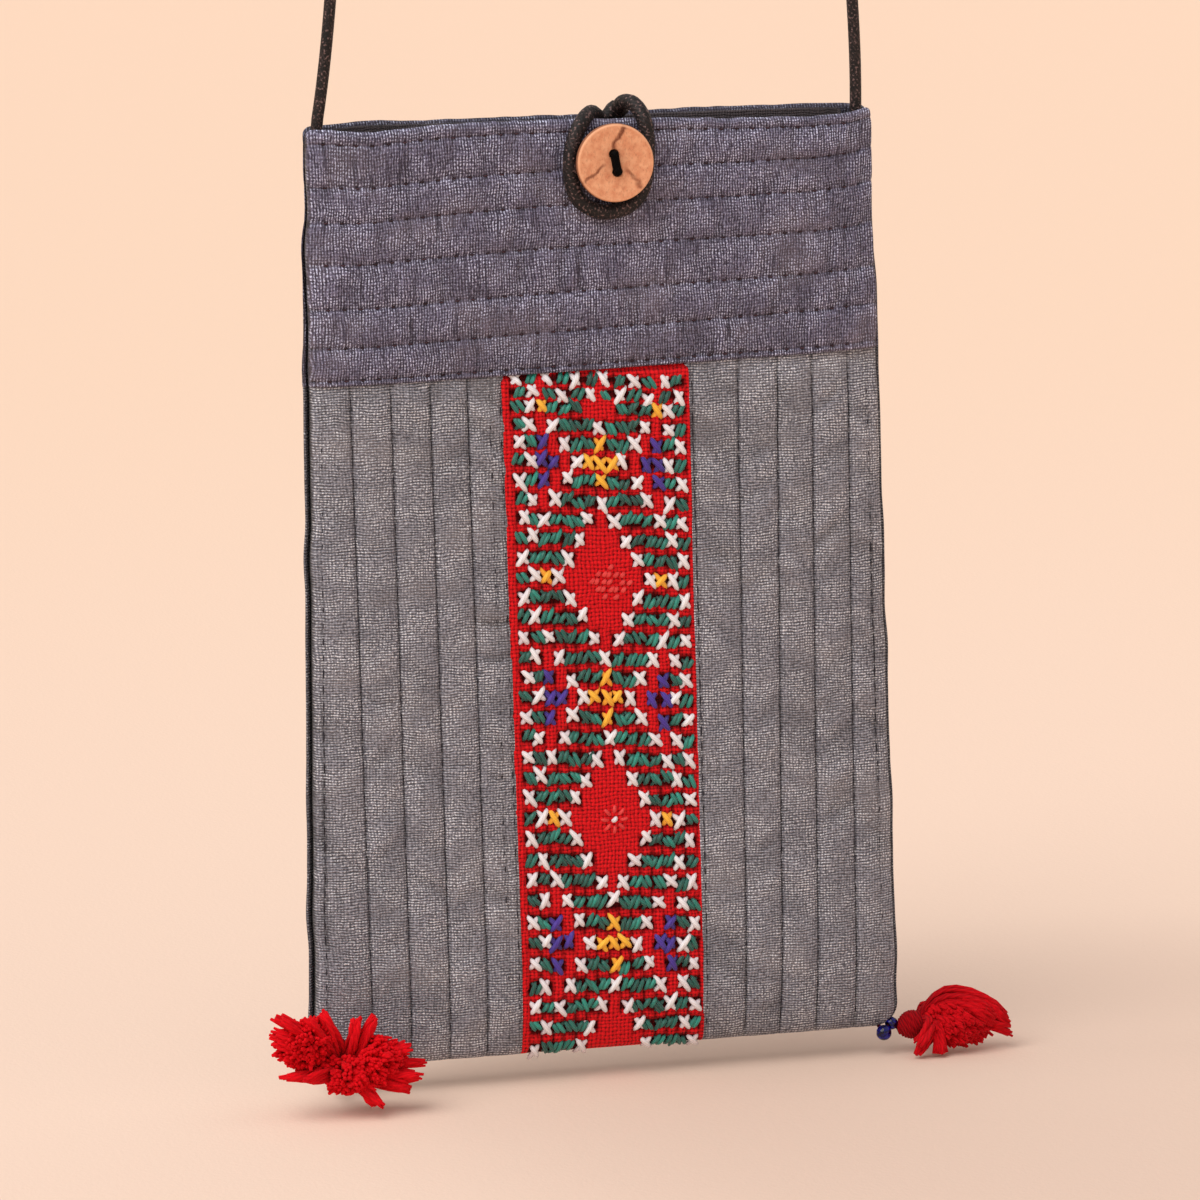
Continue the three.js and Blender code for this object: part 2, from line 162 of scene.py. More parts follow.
class Paint:
    """A material under construction: one Principled shader and the nodes that feed it."""

    def __init__(self, name: str, constants: dict[str, float | Colour]) -> None:
        """Makes the material.

        Args:
            name: its name.
            constants: values that are the same all over, by the shader's own socket names.
        """
        self.material = bpy.data.materials.new(name)
        self.material.use_nodes = True
        self.tree = self.material.node_tree
        self.shader = self.tree.nodes["Principled BSDF"]
        for socket, value in constants.items():
            self.shader.inputs[socket].default_value = value

    def node(
        self,
        kind: str,
        settings: dict[str, object] | None = None,
        inputs: dict[str | int, "Wire | float | Sequence[float]"] | None = None,
        output: str | int = 0,
    ) -> Wire:
        """Adds any node.

        Args:
            kind: the node's type.
            settings: its properties, set before its sockets.
            inputs: a value or a link for each socket, by name or number.
            output: the socket that is handed back.

        Returns:
            That socket.
        """
        made = self.tree.nodes.new(kind)
        for name, value in (settings or {}).items():
            setattr(made, name, value)
        for socket, value in (inputs or {}).items():
            if isinstance(value, Wire):
                self.tree.links.new(value.socket, made.inputs[socket])
            else:
                made.inputs[socket].default_value = value
        return Wire(self, made.outputs[output])

    def cloth_place(self) -> Wire:
        """Gives the piece's own cloth coordinates, in millimetres along its threads."""
        return self.node("ShaderNodeUVMap", {"uv_map": UV_NAME})

    def object_place(self) -> Wire:
        """Gives the place in the object's own frame, in metres."""
        return self.node("ShaderNodeTexCoord", output="Object")

    def shade(self) -> Wire:
        """Gives the value from 0 to 1 that the mesh keeps at each corner: painted shade, and on threads a
        random tone too.
        """
        return self.node("ShaderNodeAttribute", {"attribute_name": SHADE_NAME}, output="Fac")

    def part(self, place: Wire, axis: str) -> Wire:
        """Gives one of a vector's three values."""
        return self.node("ShaderNodeSeparateXYZ", inputs={0: place}, output=axis)

    def vector(self, operation: str, *values: Wire | Sequence[float]) -> Wire:
        """Adds a Vector Math node, by its own name for what it does, and gives its result."""
        return self.node("ShaderNodeVectorMath", {"operation": operation}, dict(enumerate(values)))

    def turned(self, place: Wire, centre: Sequence[float], angle: float, scale: float) -> Wire:
        """Centres a pattern on a point, turns it about the Y axis and scales it.

        Args:
            place: the coordinates.
            centre: the point that becomes the middle.
            angle: the turn, in radians.
            scale: the number of pattern units in a coordinate unit.

        Returns:
            The new coordinates.
        """
        moved = self.vector("SUBTRACT", place, tuple(centre))
        return self.node(
            "ShaderNodeMapping",
            {"vector_type": "POINT"},
            {"Vector": moved, "Rotation": (0.0, angle, 0.0), "Scale": (scale, scale, scale)},
        )

    def noise(self, place: Wire, stretch: Sequence[float], detail: float) -> Wire:
        """Gives a random field.

        Args:
            place: the coordinates.
            stretch: the number of patches in a coordinate unit along each axis.
            detail: how many finer layers are added.

        Returns:
            A value from 0 to 1, mostly near 0.5.
        """
        spread = self.vector("MULTIPLY", place, tuple(stretch))
        return self.node("ShaderNodeTexNoise", inputs={"Vector": spread, "Scale": 1.0, "Detail": detail})

    def swayed(self, place: Wire, stretch: Sequence[float], reach: float) -> Wire:
        """Bends a pattern: each point is looked up a little way off, by a random vector.

        Args:
            place: the coordinates.
            stretch: the number of random patches in a coordinate unit along each axis.
            reach: the size of the random vectors.

        Returns:
            The bent coordinates.
        """
        spread = self.vector("MULTIPLY", place, tuple(stretch))
        strays = self.node("ShaderNodeTexNoise", inputs={"Vector": spread, "Scale": 1.0}, output=1)
        return self.vector("MULTIPLY_ADD", strays, (reach, reach, 0.0), place)

    def mix(self, share: Wire | float, first: Wire | Colour, second: Wire | Colour) -> Wire:
        """Blends two colours by a share from 0 to 1."""
        return self.node(
            "ShaderNodeMix", {"data_type": "RGBA"}, {0: share, 6: first, 7: second}, output=2
        )

    def tinted(self, colour: Wire, tint: Wire) -> Wire:
        """Multiplies a colour by a grey value."""
        grey = self.node("ShaderNodeCombineColor", inputs={0: tint, 1: tint, 2: tint})
        return self.node(
            "ShaderNodeMix", {"data_type": "RGBA", "blend_type": "MULTIPLY"},
            {0: 1.0, 6: colour, 7: grey}, output=2,
        )

    def finish(self, colour: Wire, roughness: Wire, relief: Wire, depth: float) -> Material:
        """Feeds the shader.

        Args:
            colour: the base colour.
            roughness: the roughness.
            relief: the height of the surface's fine relief, 0 to 1.
            depth: the height of that relief, in metres.

        Returns:
            The material.
        """
        bump = self.node("ShaderNodeBump", inputs={"Strength": 1.0, "Distance": depth, "Height": relief})
        for socket, wire in {"Base Color": colour, "Roughness": roughness, "Normal": bump}.items():
            self.tree.links.new(wire.socket, self.shader.inputs[socket])
        return self.material


# Finishes


def cloth_shine(sheen: float, roughness: float, specular: float) -> dict[str, float]:
    """Names the shader's values for the soft sheen of cloth and for its plain reflection."""
    return {"Sheen Weight": sheen, "Sheen Roughness": roughness, "Specular IOR Level": specular}


class Grain(Enum):
    """The way that a silk's thick threads run: the axes across and along them, and its patches' scale."""

    UPRIGHT = ("X", "Y", (3.3, 0.9, 1.0))
    LEVEL = ("Y", "X", (1.1, 3.3, 1.0))


@dataclass(frozen=True)
class ShotSilk:
    """Silk woven from two colours of thread, with slubs, painted specks of light and painted shade in
    creases.

    The threads are a sine across the grain and a weaker one along it, on coordinates that a random field
    bends, and random patches stretched along the grain lighten and darken them. Painted highlights of the
    pale colour lie where the first sine is high together with the second or with random specks, more in some
    broad patches than in others. Long narrow patches give slubs, and the mesh's painted shade darkens
    creases, needle holes and seams.
    """

    name: str
    grain: Grain
    body: Colour
    # The colour of the painted highlights
    pale: Colour
    dark: Colour
    tinge: Colour
    slubs: float
    pitch: float = 0.56

    def material(self) -> Material:
        """Makes the material."""
        paint = Paint(self.name, cloth_shine(0.06, 0.4, 0.3))
        cloth = paint.cloth_place()
        place = paint.swayed(cloth, (0.15, 0.15, 1.0), 1.5)
        axis, other, stretch = self.grain.value
        turn = 2 * math.pi / self.pitch
        wave = paint.part(place, axis).wave(turn)
        cross = paint.part(place, other).wave(0.9 * turn)
        patches = paint.noise(place, stretch, 1.0)
        specks = paint.noise(place, (2.7, 2.7, 1.0), 1.0)
        clouds = paint.noise(cloth, (0.06, 0.09, 1.0), 3.0)
        shimmer = paint.noise(cloth, (0.13, 0.17, 1.0), 2.0)
        slub = paint.noise(cloth, (1.5, 0.09, 1.0), 1.0)
        value = wave * 0.42 + cross * 0.2 + patches.step(0.34, 0.66) * 0.54 - 0.12
        colour = paint.mix(value.step(0.05, 0.9), self.dark, self.body)
        colour = paint.mix(clouds.step(0.46, 0.72) * 0.35, colour, self.tinge)
        # Painted highlights: glints of the pale colour, brighter in broad shimmer patches
        glints = ((wave * 0.8 + 0.2) * (cross * 0.4 + specks.step(0.4, 0.62) * 0.66)).step(0.3, 0.9)
        glints = glints * (shimmer.step(0.38, 0.62) * 0.8 + 0.4)
        colour = paint.mix(glints, colour, self.pale)
        colour = paint.mix(slub.step(0.6, 0.72) * self.slubs, colour, self.dark)
        # Painted shade from the mesh
        colour = paint.tinted(colour, paint.shade())
        roughness = 0.6 - glints * 0.22 + slub * 0.1
        return paint.finish(colour, roughness, value, 0.14 * MM)


@dataclass(frozen=True)
class CoarseCotton:
    """Plain coarse cotton: warp and weft threads that pass over each other, with open corners.

    Each thread is a rounded ridge, the size of a sine over its pitch, and the two sets take turns to be
    the higher one.
    """

    name: str
    body: Colour
    dark: Colour
    pitch: float

    def material(self) -> Material:
        """Makes the material."""
        paint = Paint(self.name, cloth_shine(0.04, 0.5, 0.12))
        place = paint.swayed(paint.cloth_place(), (0.2, 0.2, 1.0), 1.2)
        turn = math.pi / self.pitch
        wobble = paint.noise(place, (0.9, 0.9, 1.0), 1.0) * 0.7
        warp = ((paint.part(place, "X") * turn) + wobble).sine()
        weft = ((paint.part(place, "Y") * turn) + wobble).sine()
        over = warp * weft * 0.5 + 0.5
        ridge = warp.size() * over + weft.size() * (1.0 - over)
        patches = paint.noise(place, (1.6, 1.6, 1.0), 2.0)
        # Painted light and shade: thread crests lighter, open corners darker, with random lighter and darker
        # patches
        light = ridge.step(0.1, 0.85) * 0.7 + patches.step(0.3, 0.7) * 0.4
        # Painted shade from the mesh
        colour = paint.tinted(paint.mix(light, self.dark, self.body), paint.shade())
        return paint.finish(colour, 0.85 - patches * 0.1, ridge, 0.24 * MM)


@dataclass(frozen=True)
class Floss:
    """Embroidery and tassel thread: fine strands along its length, each stitch a little lighter or darker at
    random and darker still where the mesh paints shade.

    The strands are a sine round the thread that turns slowly along it.
    """

    name: str
    body: Colour
    dark: Colour
    gloss: float
    strands: int = 5
    lay: float = 1.6
    shine: float = 0.35

    def material(self) -> Material:
        """Makes the material."""
        paint = Paint(self.name, cloth_shine(0.3 * self.shine, 0.45, self.shine))
        place = paint.cloth_place()
        along, around = paint.part(place, "X"), paint.part(place, "Y")
        strands = (around * self.strands + along * self.lay).wave(2 * math.pi)
        fuzz = paint.noise(place, (1.3, 9.0, 1.0), 2.0)
        shade = paint.shade()
        # Painted shade from the mesh, and painted light and shade across the strands
        colour = paint.mix(shade * 0.72 + strands * 0.22 + fuzz * 0.12, self.dark, self.body)
        return paint.finish(colour, 1.0 - self.gloss + fuzz * 0.2, strands * 0.7 + fuzz * 0.3, 0.08 * MM)


@dataclass(frozen=True)
class SatinCord:
    """Round satin cord: fine slanting threads with a soft shine and small specks of light."""

    name: str
    body: Colour
    pale: Colour
    shine: float = 0.35
    strands: float = 9.0
    lay: float = 0.9
    cross_lay: float = 1.3

    def material(self) -> Material:
        """Makes the material."""
        paint = Paint(self.name, cloth_shine(0.1 * self.shine, 0.4, self.shine))
        place = paint.cloth_place()
        along, around = paint.part(place, "X"), paint.part(place, "Y")
        threads = (around * self.strands + along * self.lay).wave(2 * math.pi)
        crossing = (around * self.strands - along * self.cross_lay).wave(2 * math.pi)
        wear = paint.noise(place, (0.35, 3.0, 1.0), 3.0)
        specks = paint.noise(place, (2.0, 13.0, 1.0), 1.0).step(0.56, 0.7)
        # Painted highlights: pale specks of light and a faint lighter line along the threads
        colour = paint.mix(specks * 0.8 + threads * wear.step(0.4, 0.7) * 0.2, self.body, self.pale)
        return paint.finish(colour, 0.5 + wear * 0.2, threads * 0.4 + crossing * 0.3 + specks * 0.3, 0.1 * MM)


@dataclass(frozen=True)
class ShellButton:
    """Cut coconut shell: warm tan with mottled grain, soft brown cracks, a rim painted paler as a highlight
    and a side painted brown as shade.

    Each crack is a ray given by its angle, how far to its left side it passes the middle and its width, in
    millimetres, and its depth of colour. Its darkness falls with the distance from the ray, which a random
    field bends.
    """

    name: str
    body: Colour
    pale: Colour
    dark: Colour
    centre: Point
    radius: float
    cracks: Table = (
        (68.0, 1.2, 0.75, 1.0), (222.0, -1.4, 0.6, 0.85), (308.0, 0.9, 0.65, 0.65)
    )

    def material(self) -> Material:
        """Makes the material."""
        paint = Paint(self.name, {"Specular IOR Level": 0.3})
        place = paint.object_place()
        flat = paint.turned(place, self.centre, 0.0, 1 / MM)
        mottle = paint.noise(flat, (0.8, 0.8, 0.8), 5.0)
        grain = paint.noise(flat, (3.4, 3.4, 1.7), 3.0)
        colour = paint.mix(mottle.step(0.25, 0.75), self.body, self.pale)
        colour = paint.mix(grain.step(0.5, 0.75) * 0.3, colour, self.dark)
        bend = (paint.noise(flat, (0.35, 0.35, 0.35), 3.0) - 0.5) * 2.8
        marks: Wire | float = 0.0
        for turn, left, width, depth in self.cracks:
            ray = paint.turned(place, self.centre, math.radians(turn), 1 / MM)
            beside = (paint.part(ray, "Z") + bend - left).size()
            marks = beside.step(width, 0.1 * width) * paint.part(ray, "X").step(1.2, 3.0) * depth + marks
        colour = paint.mix(marks * (grain * 0.8 + 0.5), colour, self.dark)
        across, up = paint.part(flat, "X"), paint.part(flat, "Z")
        radius = (across * across + up * up) ** 0.5
        edge = self.radius / MM
        # Painted highlight: the face's outer ring is paler
        colour = paint.mix(radius.step(edge - 0.7, edge - 0.35) * 0.7, colour, self.pale)
        # Painted shade: the side and the back are darker brown
        colour = paint.mix(paint.part(flat, "Y").step(-1.0, -0.5) * 0.8, colour, self.dark)
        relief = grain * 0.3 + mottle * 0.3 - marks * 0.6
        return paint.finish(colour, 0.5 + grain * 0.2, relief, 0.14 * MM)


@dataclass(frozen=True)
class BlueGlass:
    """Pressed glass beads: deep blue, smooth, a little uneven in colour."""

    name: str
    body: Colour
    pale: Colour

    def material(self) -> Material:
        """Makes the material."""
        paint = Paint(
            self.name,
            {"Transmission Weight": 0.1, "IOR": 1.5, "Specular IOR Level": 0.35, "Coat Weight": 0.05},
        )
        clouds = paint.noise(paint.object_place(), (900.0, 900.0, 900.0), 2.0)
        colour = paint.mix(clouds.step(0.4, 0.7), self.body, self.pale)
        return paint.finish(colour, 0.06 + clouds * 0.08, clouds, 0.02 * MM)


@dataclass(frozen=True)
class StudioFloor:
    """A plain pale floor, a little pinker near the front, with a very faint grain.

    A soft round patch beside the bag is a painted shadow: it is darker and fades with the square of the
    distance from its middle.
    """

    name: str
    near: Colour
    far: Colour
    # The colour of the painted shadow beside the bag
    beside: Colour
    patch: Point = (0.12, -0.07, 0.15)

    def material(self) -> Material:
        """Makes the material."""
        paint = Paint(self.name, {"Specular IOR Level": 0.1})
        place = paint.object_place()
        grain = paint.noise(place, (900.0, 700.0, 900.0), 2.0)
        across, away = paint.part(place, "X"), paint.part(place, "Y")
        colour = paint.mix(away.step(-0.1, 1.2), self.near, self.far)
        right, front, reach = self.patch
        aside, ahead = (across - right) * (1 / reach), (away - front) * (1 / reach)
        # Painted shadow: a soft round darker patch beside the bag
        colour = paint.mix((aside * aside + ahead * ahead).step(1.6, 0.25), colour, self.beside)
        return paint.finish(colour, 0.85 + grain * 0.1, grain, 0.08 * MM)


# Surfaces as whole arrays


def smooth_step(share: Array) -> Array:
    """Climbs from 0 to 1 with level ends."""
    return share**2 * (3 - 2 * share)


def unit(vectors: Array) -> Array:
    """Scales vectors to a length of 1."""
    return vectors / np.linalg.norm(vectors, axis=-1, keepdims=True)


def lookup(table: Sequence[Sequence[float]], place: Array, column: int = 1) -> Array:
    """Reads a column of a table by straight lines between its rows, which start with their places."""
    rows = np.array(table)
    return np.interp(place, rows[:, 0], rows[:, column])


def random_field(across: Array, up: Array, seed: int) -> Array:
    """Gives a smooth random field: each unit square's corners have a random value, blended by smooth steps.

    Args:
        across: first coordinate, one unit for each patch.
        up: second coordinate.
        seed: picks the field.

    Returns:
        Values from -1 to 1 in the shape of the coordinates.
    """
    side = 64
    table = np.random.default_rng(seed).uniform(-1, 1, (side, side))
    column, row = np.floor(across).astype(int), np.floor(up).astype(int)
    right, above = smooth_step(across - column), smooth_step(up - row)
    corner = [[table[(column + i) % side, (row + j) % side] for i in (0, 1)] for j in (0, 1)]
    low, high = (pair[0] * (1 - right) + pair[1] * right for pair in corner)
    return low * (1 - above) + high * above


@dataclass(frozen=True)
class Ripple:
    """A random field with patches of a given size, where each rib can read its own part of the field."""

    wide: float
    long: float
    layer: int
    shift_wide: float = 0.0
    shift_long: float = 0.0

    def at(self, across: Array, along: Array, seed: int, rib: Array | int = 0) -> Array:
        """Gives the field's value, -1 to 1, at distances across and along."""
        wide = across / self.wide + self.shift_wide * rib
        return random_field(wide, along / self.long + self.shift_long * rib, seed + self.layer)


def smooth_curve(knots: Array, steps: int) -> Array:
    """Runs a Catmull-Rom curve through knots.

    Between two knots the curve is a cubic whose slope at each knot is half the way from the knot before
    to the knot after. The points are then spaced evenly along its length.

    Args:
        knots: the points, one row each.
        steps: the number of points that are handed back.

    Returns:
        Points on the curve, one row each.
    """
    padded = np.vstack([2 * knots[0] - knots[1], knots, 2 * knots[-1] - knots[-2]])
    before, start, end, after = (padded[i : i + len(knots) - 1, None] for i in range(4))
    share = np.linspace(0, 1, 24, endpoint=False)[None, :, None]
    curve = start + 0.5 * share * (
        end - before
        + share * (2 * before - 5 * start + 4 * end - after + share * (3 * (start - end) + after - before))
    )
    curve = np.vstack([curve.reshape(-1, 3), knots[-1:]])
    length = np.concatenate([[0], np.cumsum(np.linalg.norm(np.diff(curve, axis=0), axis=1))])
    even = np.linspace(0, length[-1], steps)
    return np.stack([np.interp(even, length, curve[:, i]) for i in range(3)], axis=1)


def grid_corners(rows: int, columns: int, wrap: bool, wrap_rows: bool = False) -> tuple[Array, Array]:
    """Numbers the corners of a grid's faces.

    Args:
        rows: the number of rows of points.
        columns: the number of columns of points.
        wrap: whether the last column joins the first.
        wrap_rows: whether the last row joins the first.

    Returns:
        The corners of each face as point numbers, and as numbers in a grid that has one column and one
        row more where they wrap.
    """
    wide = columns if wrap else columns - 1
    high = rows if wrap_rows else rows - 1
    row, column = np.meshgrid(np.arange(high), np.arange(wide), indexing="ij")
    turns = ((0, 0), (0, 1), (1, 1), (1, 0))
    points = [((row + i) % rows) * columns + (column + j) % columns for i, j in turns]
    places = [(row + i) * (wide + 1) + column + j for i, j in turns]
    return np.stack(points, -1).reshape(-1, 4), np.stack(places, -1).reshape(-1, 4)


@dataclass
class Surface:
    """Points, four-cornered faces, cloth coordinates and a shade for each point."""

    points: Array
    faces: Array
    uv: Array
    shade: Array

    @classmethod
    def grid(cls, points: Array, uv: Array, wrap: bool = False, wrap_rows: bool = False) -> "Surface":
        """Makes the faces of one grid of points, or of many alike.

        Args:
            points: places by rows and columns, after an index of the grid where there are many.
            uv: cloth coordinates in the same order, with one more column or row where the grid wraps.
            wrap: whether the last column joins the first.
            wrap_rows: whether the last row joins the first.

        Returns:
            The surface, with a shade of 1 all over.
        """
        stack = points.reshape(-1, *points.shape[-3:])
        count, rows, columns = stack.shape[:3]
        corners, places = grid_corners(rows, columns, wrap, wrap_rows)
        shift = np.arange(count)[:, None, None]
        flat_uv = uv.reshape(count, -1, 2)
        return cls(
            stack.reshape(-1, 3),
            (corners[None] + shift * rows * columns).reshape(-1, 4),
            flat_uv[:, places].reshape(-1, 4, 2),
            np.ones(count * rows * columns),
        )

    @classmethod
    def joined(cls, parts: Sequence["Surface"]) -> "Surface":
        """Puts several surfaces into one."""
        shift = np.cumsum([0] + [len(part.points) for part in parts[:-1]])
        return cls(
            np.concatenate([part.points for part in parts]),
            np.concatenate([part.faces + i for part, i in zip(parts, shift, strict=True)]),
            np.concatenate([part.uv for part in parts]),
            np.concatenate([part.shade for part in parts]),
        )

    def capped(self, rows: int, columns: int) -> "Surface":
        """Closes the first and last ring of each tube with faces across it.

        A ring of an even number of points is crossed by faces that pair each point with the one opposite.

        Args:
            rows: the number of rings in a tube.
            columns: the even number of points in a ring.

        Returns:
            The closed surface.
        """
        pair = np.arange(columns // 2 - 1)
        cap = np.stack([pair, pair + 1, columns - 2 - pair, columns - 1 - pair], -1)
        tube = np.arange(len(self.points) // (rows * columns))[:, None, None] * rows * columns
        faces = np.concatenate([cap[None, :, ::-1] + tube, cap[None] + tube + (rows - 1) * columns])
        faces = faces.reshape(-1, 4)
        uv = np.concatenate([self.uv, np.zeros((len(faces), 4, 2))])
        return Surface(self.points, np.concatenate([self.faces, faces]), uv, self.shade)

    def piece(
        self, name: str, material: Material, nodes: Sequence[str], slot: str
    ) -> bpy.types.Object:
        """Makes the Blender object and hangs it on the part's body.

        Args:
            name: the piece's name.
            material: its finish.
            nodes: the CAD nodes that it replaces.
            slot: the record's material slot; it is not used.

        Returns:
            The object, at the origin.
        """
        mesh = bpy.data.meshes.new(name)
        mesh.vertices.add(len(self.points))
        mesh.vertices.foreach_set("co", self.points.astype(np.float32).ravel())
        mesh.loops.add(self.faces.size)
        mesh.loops.foreach_set("vertex_index", self.faces.astype(np.int32).ravel())
        mesh.polygons.add(len(self.faces))
        mesh.polygons.foreach_set("loop_start", np.arange(0, self.faces.size, 4, dtype=np.int32))
        mesh.update(calc_edges=True)
        layer = mesh.uv_layers.new(name=UV_NAME)
        layer.data.foreach_set("uv", self.uv.astype(np.float32).ravel())
        shade = mesh.attributes.new(SHADE_NAME, "FLOAT", "POINT")
        shade.data.foreach_set("value", self.shade.astype(np.float32))
        mesh.polygons.foreach_set("use_smooth", np.ones(len(self.faces), dtype=bool))
        mesh.materials.append(material)
        mesh.validate()
        made = bpy.data.objects.new(name, mesh)
        bpy.context.scene.collection.objects.link(made)
        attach(made, BODY)
        if nodes:
            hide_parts(*nodes)
        LOG.info("%s: %d triangles", name, 2 * len(self.faces))
        return made


def closed_shell(outer: Array, inner: Array, uv: Array, shade: Array, inside: Array) -> Surface:
    """Joins two grids that meet along their border into one closed skin.

    Args:
        outer: the outside, by rows and columns.
        inner: the inside, with the same border.
        uv: cloth coordinates of both.
        shade: shade of the outside.
        inside: shade of the inside.

    Returns:
        The closed surface.
    """
    rows, columns = outer.shape[:2]
    corners, places = grid_corners(rows, columns, False)
    number = np.arange(rows * columns).reshape(rows, columns)
    behind = number.copy()
    middle = np.arange((rows - 2) * (columns - 2)).reshape(rows - 2, columns - 2)
    behind[1:-1, 1:-1] = rows * columns + middle
    flat_uv = uv.reshape(-1, 2)
    return Surface(
        np.concatenate([outer.reshape(-1, 3), inner[1:-1, 1:-1].reshape(-1, 3)]),
        np.concatenate([corners, behind.ravel()[corners][:, ::-1]]),
        np.concatenate([flat_uv[places], flat_uv[places][:, ::-1]]),
        np.concatenate([shade.ravel(), inside[1:-1, 1:-1].ravel()]),
    )


def tube(path: Array, radius: Array | float, hint: Array, sides: int = 8, flat: float = 1.0) -> Surface:
    """Carries a round profile along one path or many.

    At each point of the path a ring of points stands square to it, and the ring's upper side leans
    towards the hint.

    Args:
        path: points along each path, after an index of the path where there are many.
        radius: the ring's radius, one for all or one for each point.
        hint: a direction that isn't along the path, one for all or one for each point.
        sides: the even number of points in a ring.
        flat: the ring's height over its width.

    Returns:
        The closed tubes. Their cloth coordinates are millimetres along and shares of a turn.
    """
    path = path.reshape(-1, *path.shape[-2:])
    count, steps = path.shape[:2]
    along = unit(np.gradient(path, axis=1))
    side = unit(np.cross(np.broadcast_to(hint, path.shape), along))
    upper = np.cross(along, side)
    angle = 2 * np.pi * np.arange(sides)[:, None] / sides
    ring = np.cos(angle) * side[:, :, None] + flat * np.sin(angle) * upper[:, :, None]
    size = np.broadcast_to(radius, (count, steps))[:, :, None, None]
    gone = np.linalg.norm(np.diff(path, axis=1, prepend=path[:, :1]), axis=-1).cumsum(axis=1) / MM
    uv = np.stack(np.broadcast_arrays(gone[:, :, None], np.arange(sides + 1) / sides), axis=-1)
    return Surface.grid(path[:, :, None] + size * ring, uv, wrap=True).capped(steps, sides)


# Pouch


class Face(Enum):
    """A wall of the pouch, by the sign of its depth."""

    FRONT = -1.0
    BACK = 1.0


@dataclass(frozen=True)
class PouchShape:
    """Outline and depth of the flat pouch, as in the solids, with the mouth's edges drawn more closely."""

    base: float
    height: float = 190 * MM
    mouth_width: float = 115 * MM
    base_width: float = 122 * MM
    corner: float = 5 * MM
    seam: float = 0.15 * MM
    body_depth: float = 3.5 * MM
    mouth_depth: float = 2.7 * MM
    lining_room: float = 1.3 * MM
    mouth_taper: float = 45 * MM
    base_rounding: float = 22 * MM
    yoke: float = 50 * MM
    wander: float = 0.4 * MM
    wander_length: float = 8 * MM
    wander_seed: int = 8

    # How far each top edge sags below the mouth's corners: across, front, back
    mouth_edge: Table = (
        (-57.5, 0, 0), (-52, 0.35, -0.2), (-46, 0.95, -0.5), (-40, 0.5, -0.4), (-32, 0, -0.2),
        (-18, -0.3, -0.1), (0, -0.1, 0), (8, 0.2, -0.4), (15, 0.4, -0.5), (29, 0.95, -0.45),
        (45, 1.4, -0.4), (53, 1, -0.3), (57.5, 0, 0),
    )

    def seam_level(self) -> float:
        """Gives the level of the seam between a yoke and what lies below it."""
        return self.height - self.yoke

    def half_width(self, level: Array) -> Array:
        """Gives half the width at a level: a straight taper whose bottom corners are quarter circles."""
        straight = (self.base_width + (self.mouth_width - self.base_width) * level / self.height) / 2
        below = np.clip(self.corner - level, 0, self.corner)
        return straight - self.corner + np.sqrt(self.corner**2 - below**2)

    def hollow(self, across: Array, level: Array) -> Array:
        """Gives half the depth inside the walls.

        The depth is full over the middle and falls as the root of 1 less the fourth power of the share of
        the width. It rounds off like a circle at the base and narrows smoothly to the mouth.

        Args:
            across: distance from the middle.
            level: height above the base.

        Returns:
            The depth from the middle plane to the inside of a wall.
        """
        below = 1 - np.clip(level / self.base_rounding, 0, 1)
        rounded = np.sqrt(1 - below**2)
        rise = smooth_step(np.clip((level - self.height + self.mouth_taper) / self.mouth_taper, 0, 1))
        middle = self.body_depth * rounded * (1 - rise) + self.mouth_depth * rise + self.lining_room * rounded
        share = np.clip(np.abs(across) / self.half_width(level), 0, 1)
        return self.seam + middle * np.sqrt(1 - share**4)

    def sag(self, face: Face, across: Array, below: Array) -> Array:
        """Gives how far a wall's top edge sags, fading out down the yoke."""
        edge = lookup(self.mouth_edge, across / MM, 1 if face is Face.FRONT else 2) * MM
        return edge * np.clip(1 - below / self.yoke, 0, 1)

    def waver(self, across: Array, level: Array) -> Array:
        """Gives how far each side edge strays in or out: a random field up it, felt only close to it."""
        share = np.clip(np.abs(across) / self.half_width(level), 0, 1.05)
        stray = random_field(
            level / self.wander_length, np.sign(across) + 0.5 + 0 * level, self.wander_seed
        )
        return self.wander * share**12 * stray

    def place(
        self, face: Face, across: Array, level: Array, lift: Array | float, drop: Array | float = 0.0
    ) -> Array:
        """Puts points on a wall.

        Args:
            face: the wall.
            across: distance from the middle.
            level: height above the base.
            lift: distance out from the inside of the wall.
            drop: how far the point hangs below its level.

        Returns:
            Places in the row frame.
        """
        depth = self.hollow(across, level) + lift
        x, z = across + self.waver(across, level), self.base + level - drop
        return np.stack(np.broadcast_arrays(x, face.value * depth, z), axis=-1)


def crowded(edges: Sequence[float], steps: int) -> Array:
    """Sets points between edges, closer together near each one, like the height on a half circle."""
    share = (1 - np.cos(np.pi * np.arange(steps) / steps)) / 2
    edges = np.asarray(edges)
    return np.append((edges[:-1, None] + np.diff(edges)[:, None] * share).ravel(), edges[-1])


def rib_share(position: Array, lines: Array) -> tuple[Array, Array]:
    """Finds the place between two lines of stitches.

    Args:
        position: distances across the ribs.
        lines: the lines' distances, one row for each line, in a shape that fits the positions.

    Returns:
        The number of the rib and the share of it, 0 to 1.
    """
    lines = np.stack(np.broadcast_arrays(*[np.broadcast_to(line, position.shape) for line in lines]))
    rib = np.clip((position[None] >= lines).sum(axis=0) - 1, 0, len(lines) - 2)
    low = np.take_along_axis(lines, rib[None], axis=0)[0]
    high = np.take_along_axis(lines, rib[None] + 1, axis=0)[0]
    return rib, np.clip((position - low) / (high - low), 0, 1)


def rolled(distance: Array, radius: float) -> Array:
    """Rounds off an edge: a quarter circle from 0 at the edge to 1 at the radius."""
    return np.sqrt(1 - (1 - np.clip(distance / radius, 0, 1)) ** 2)


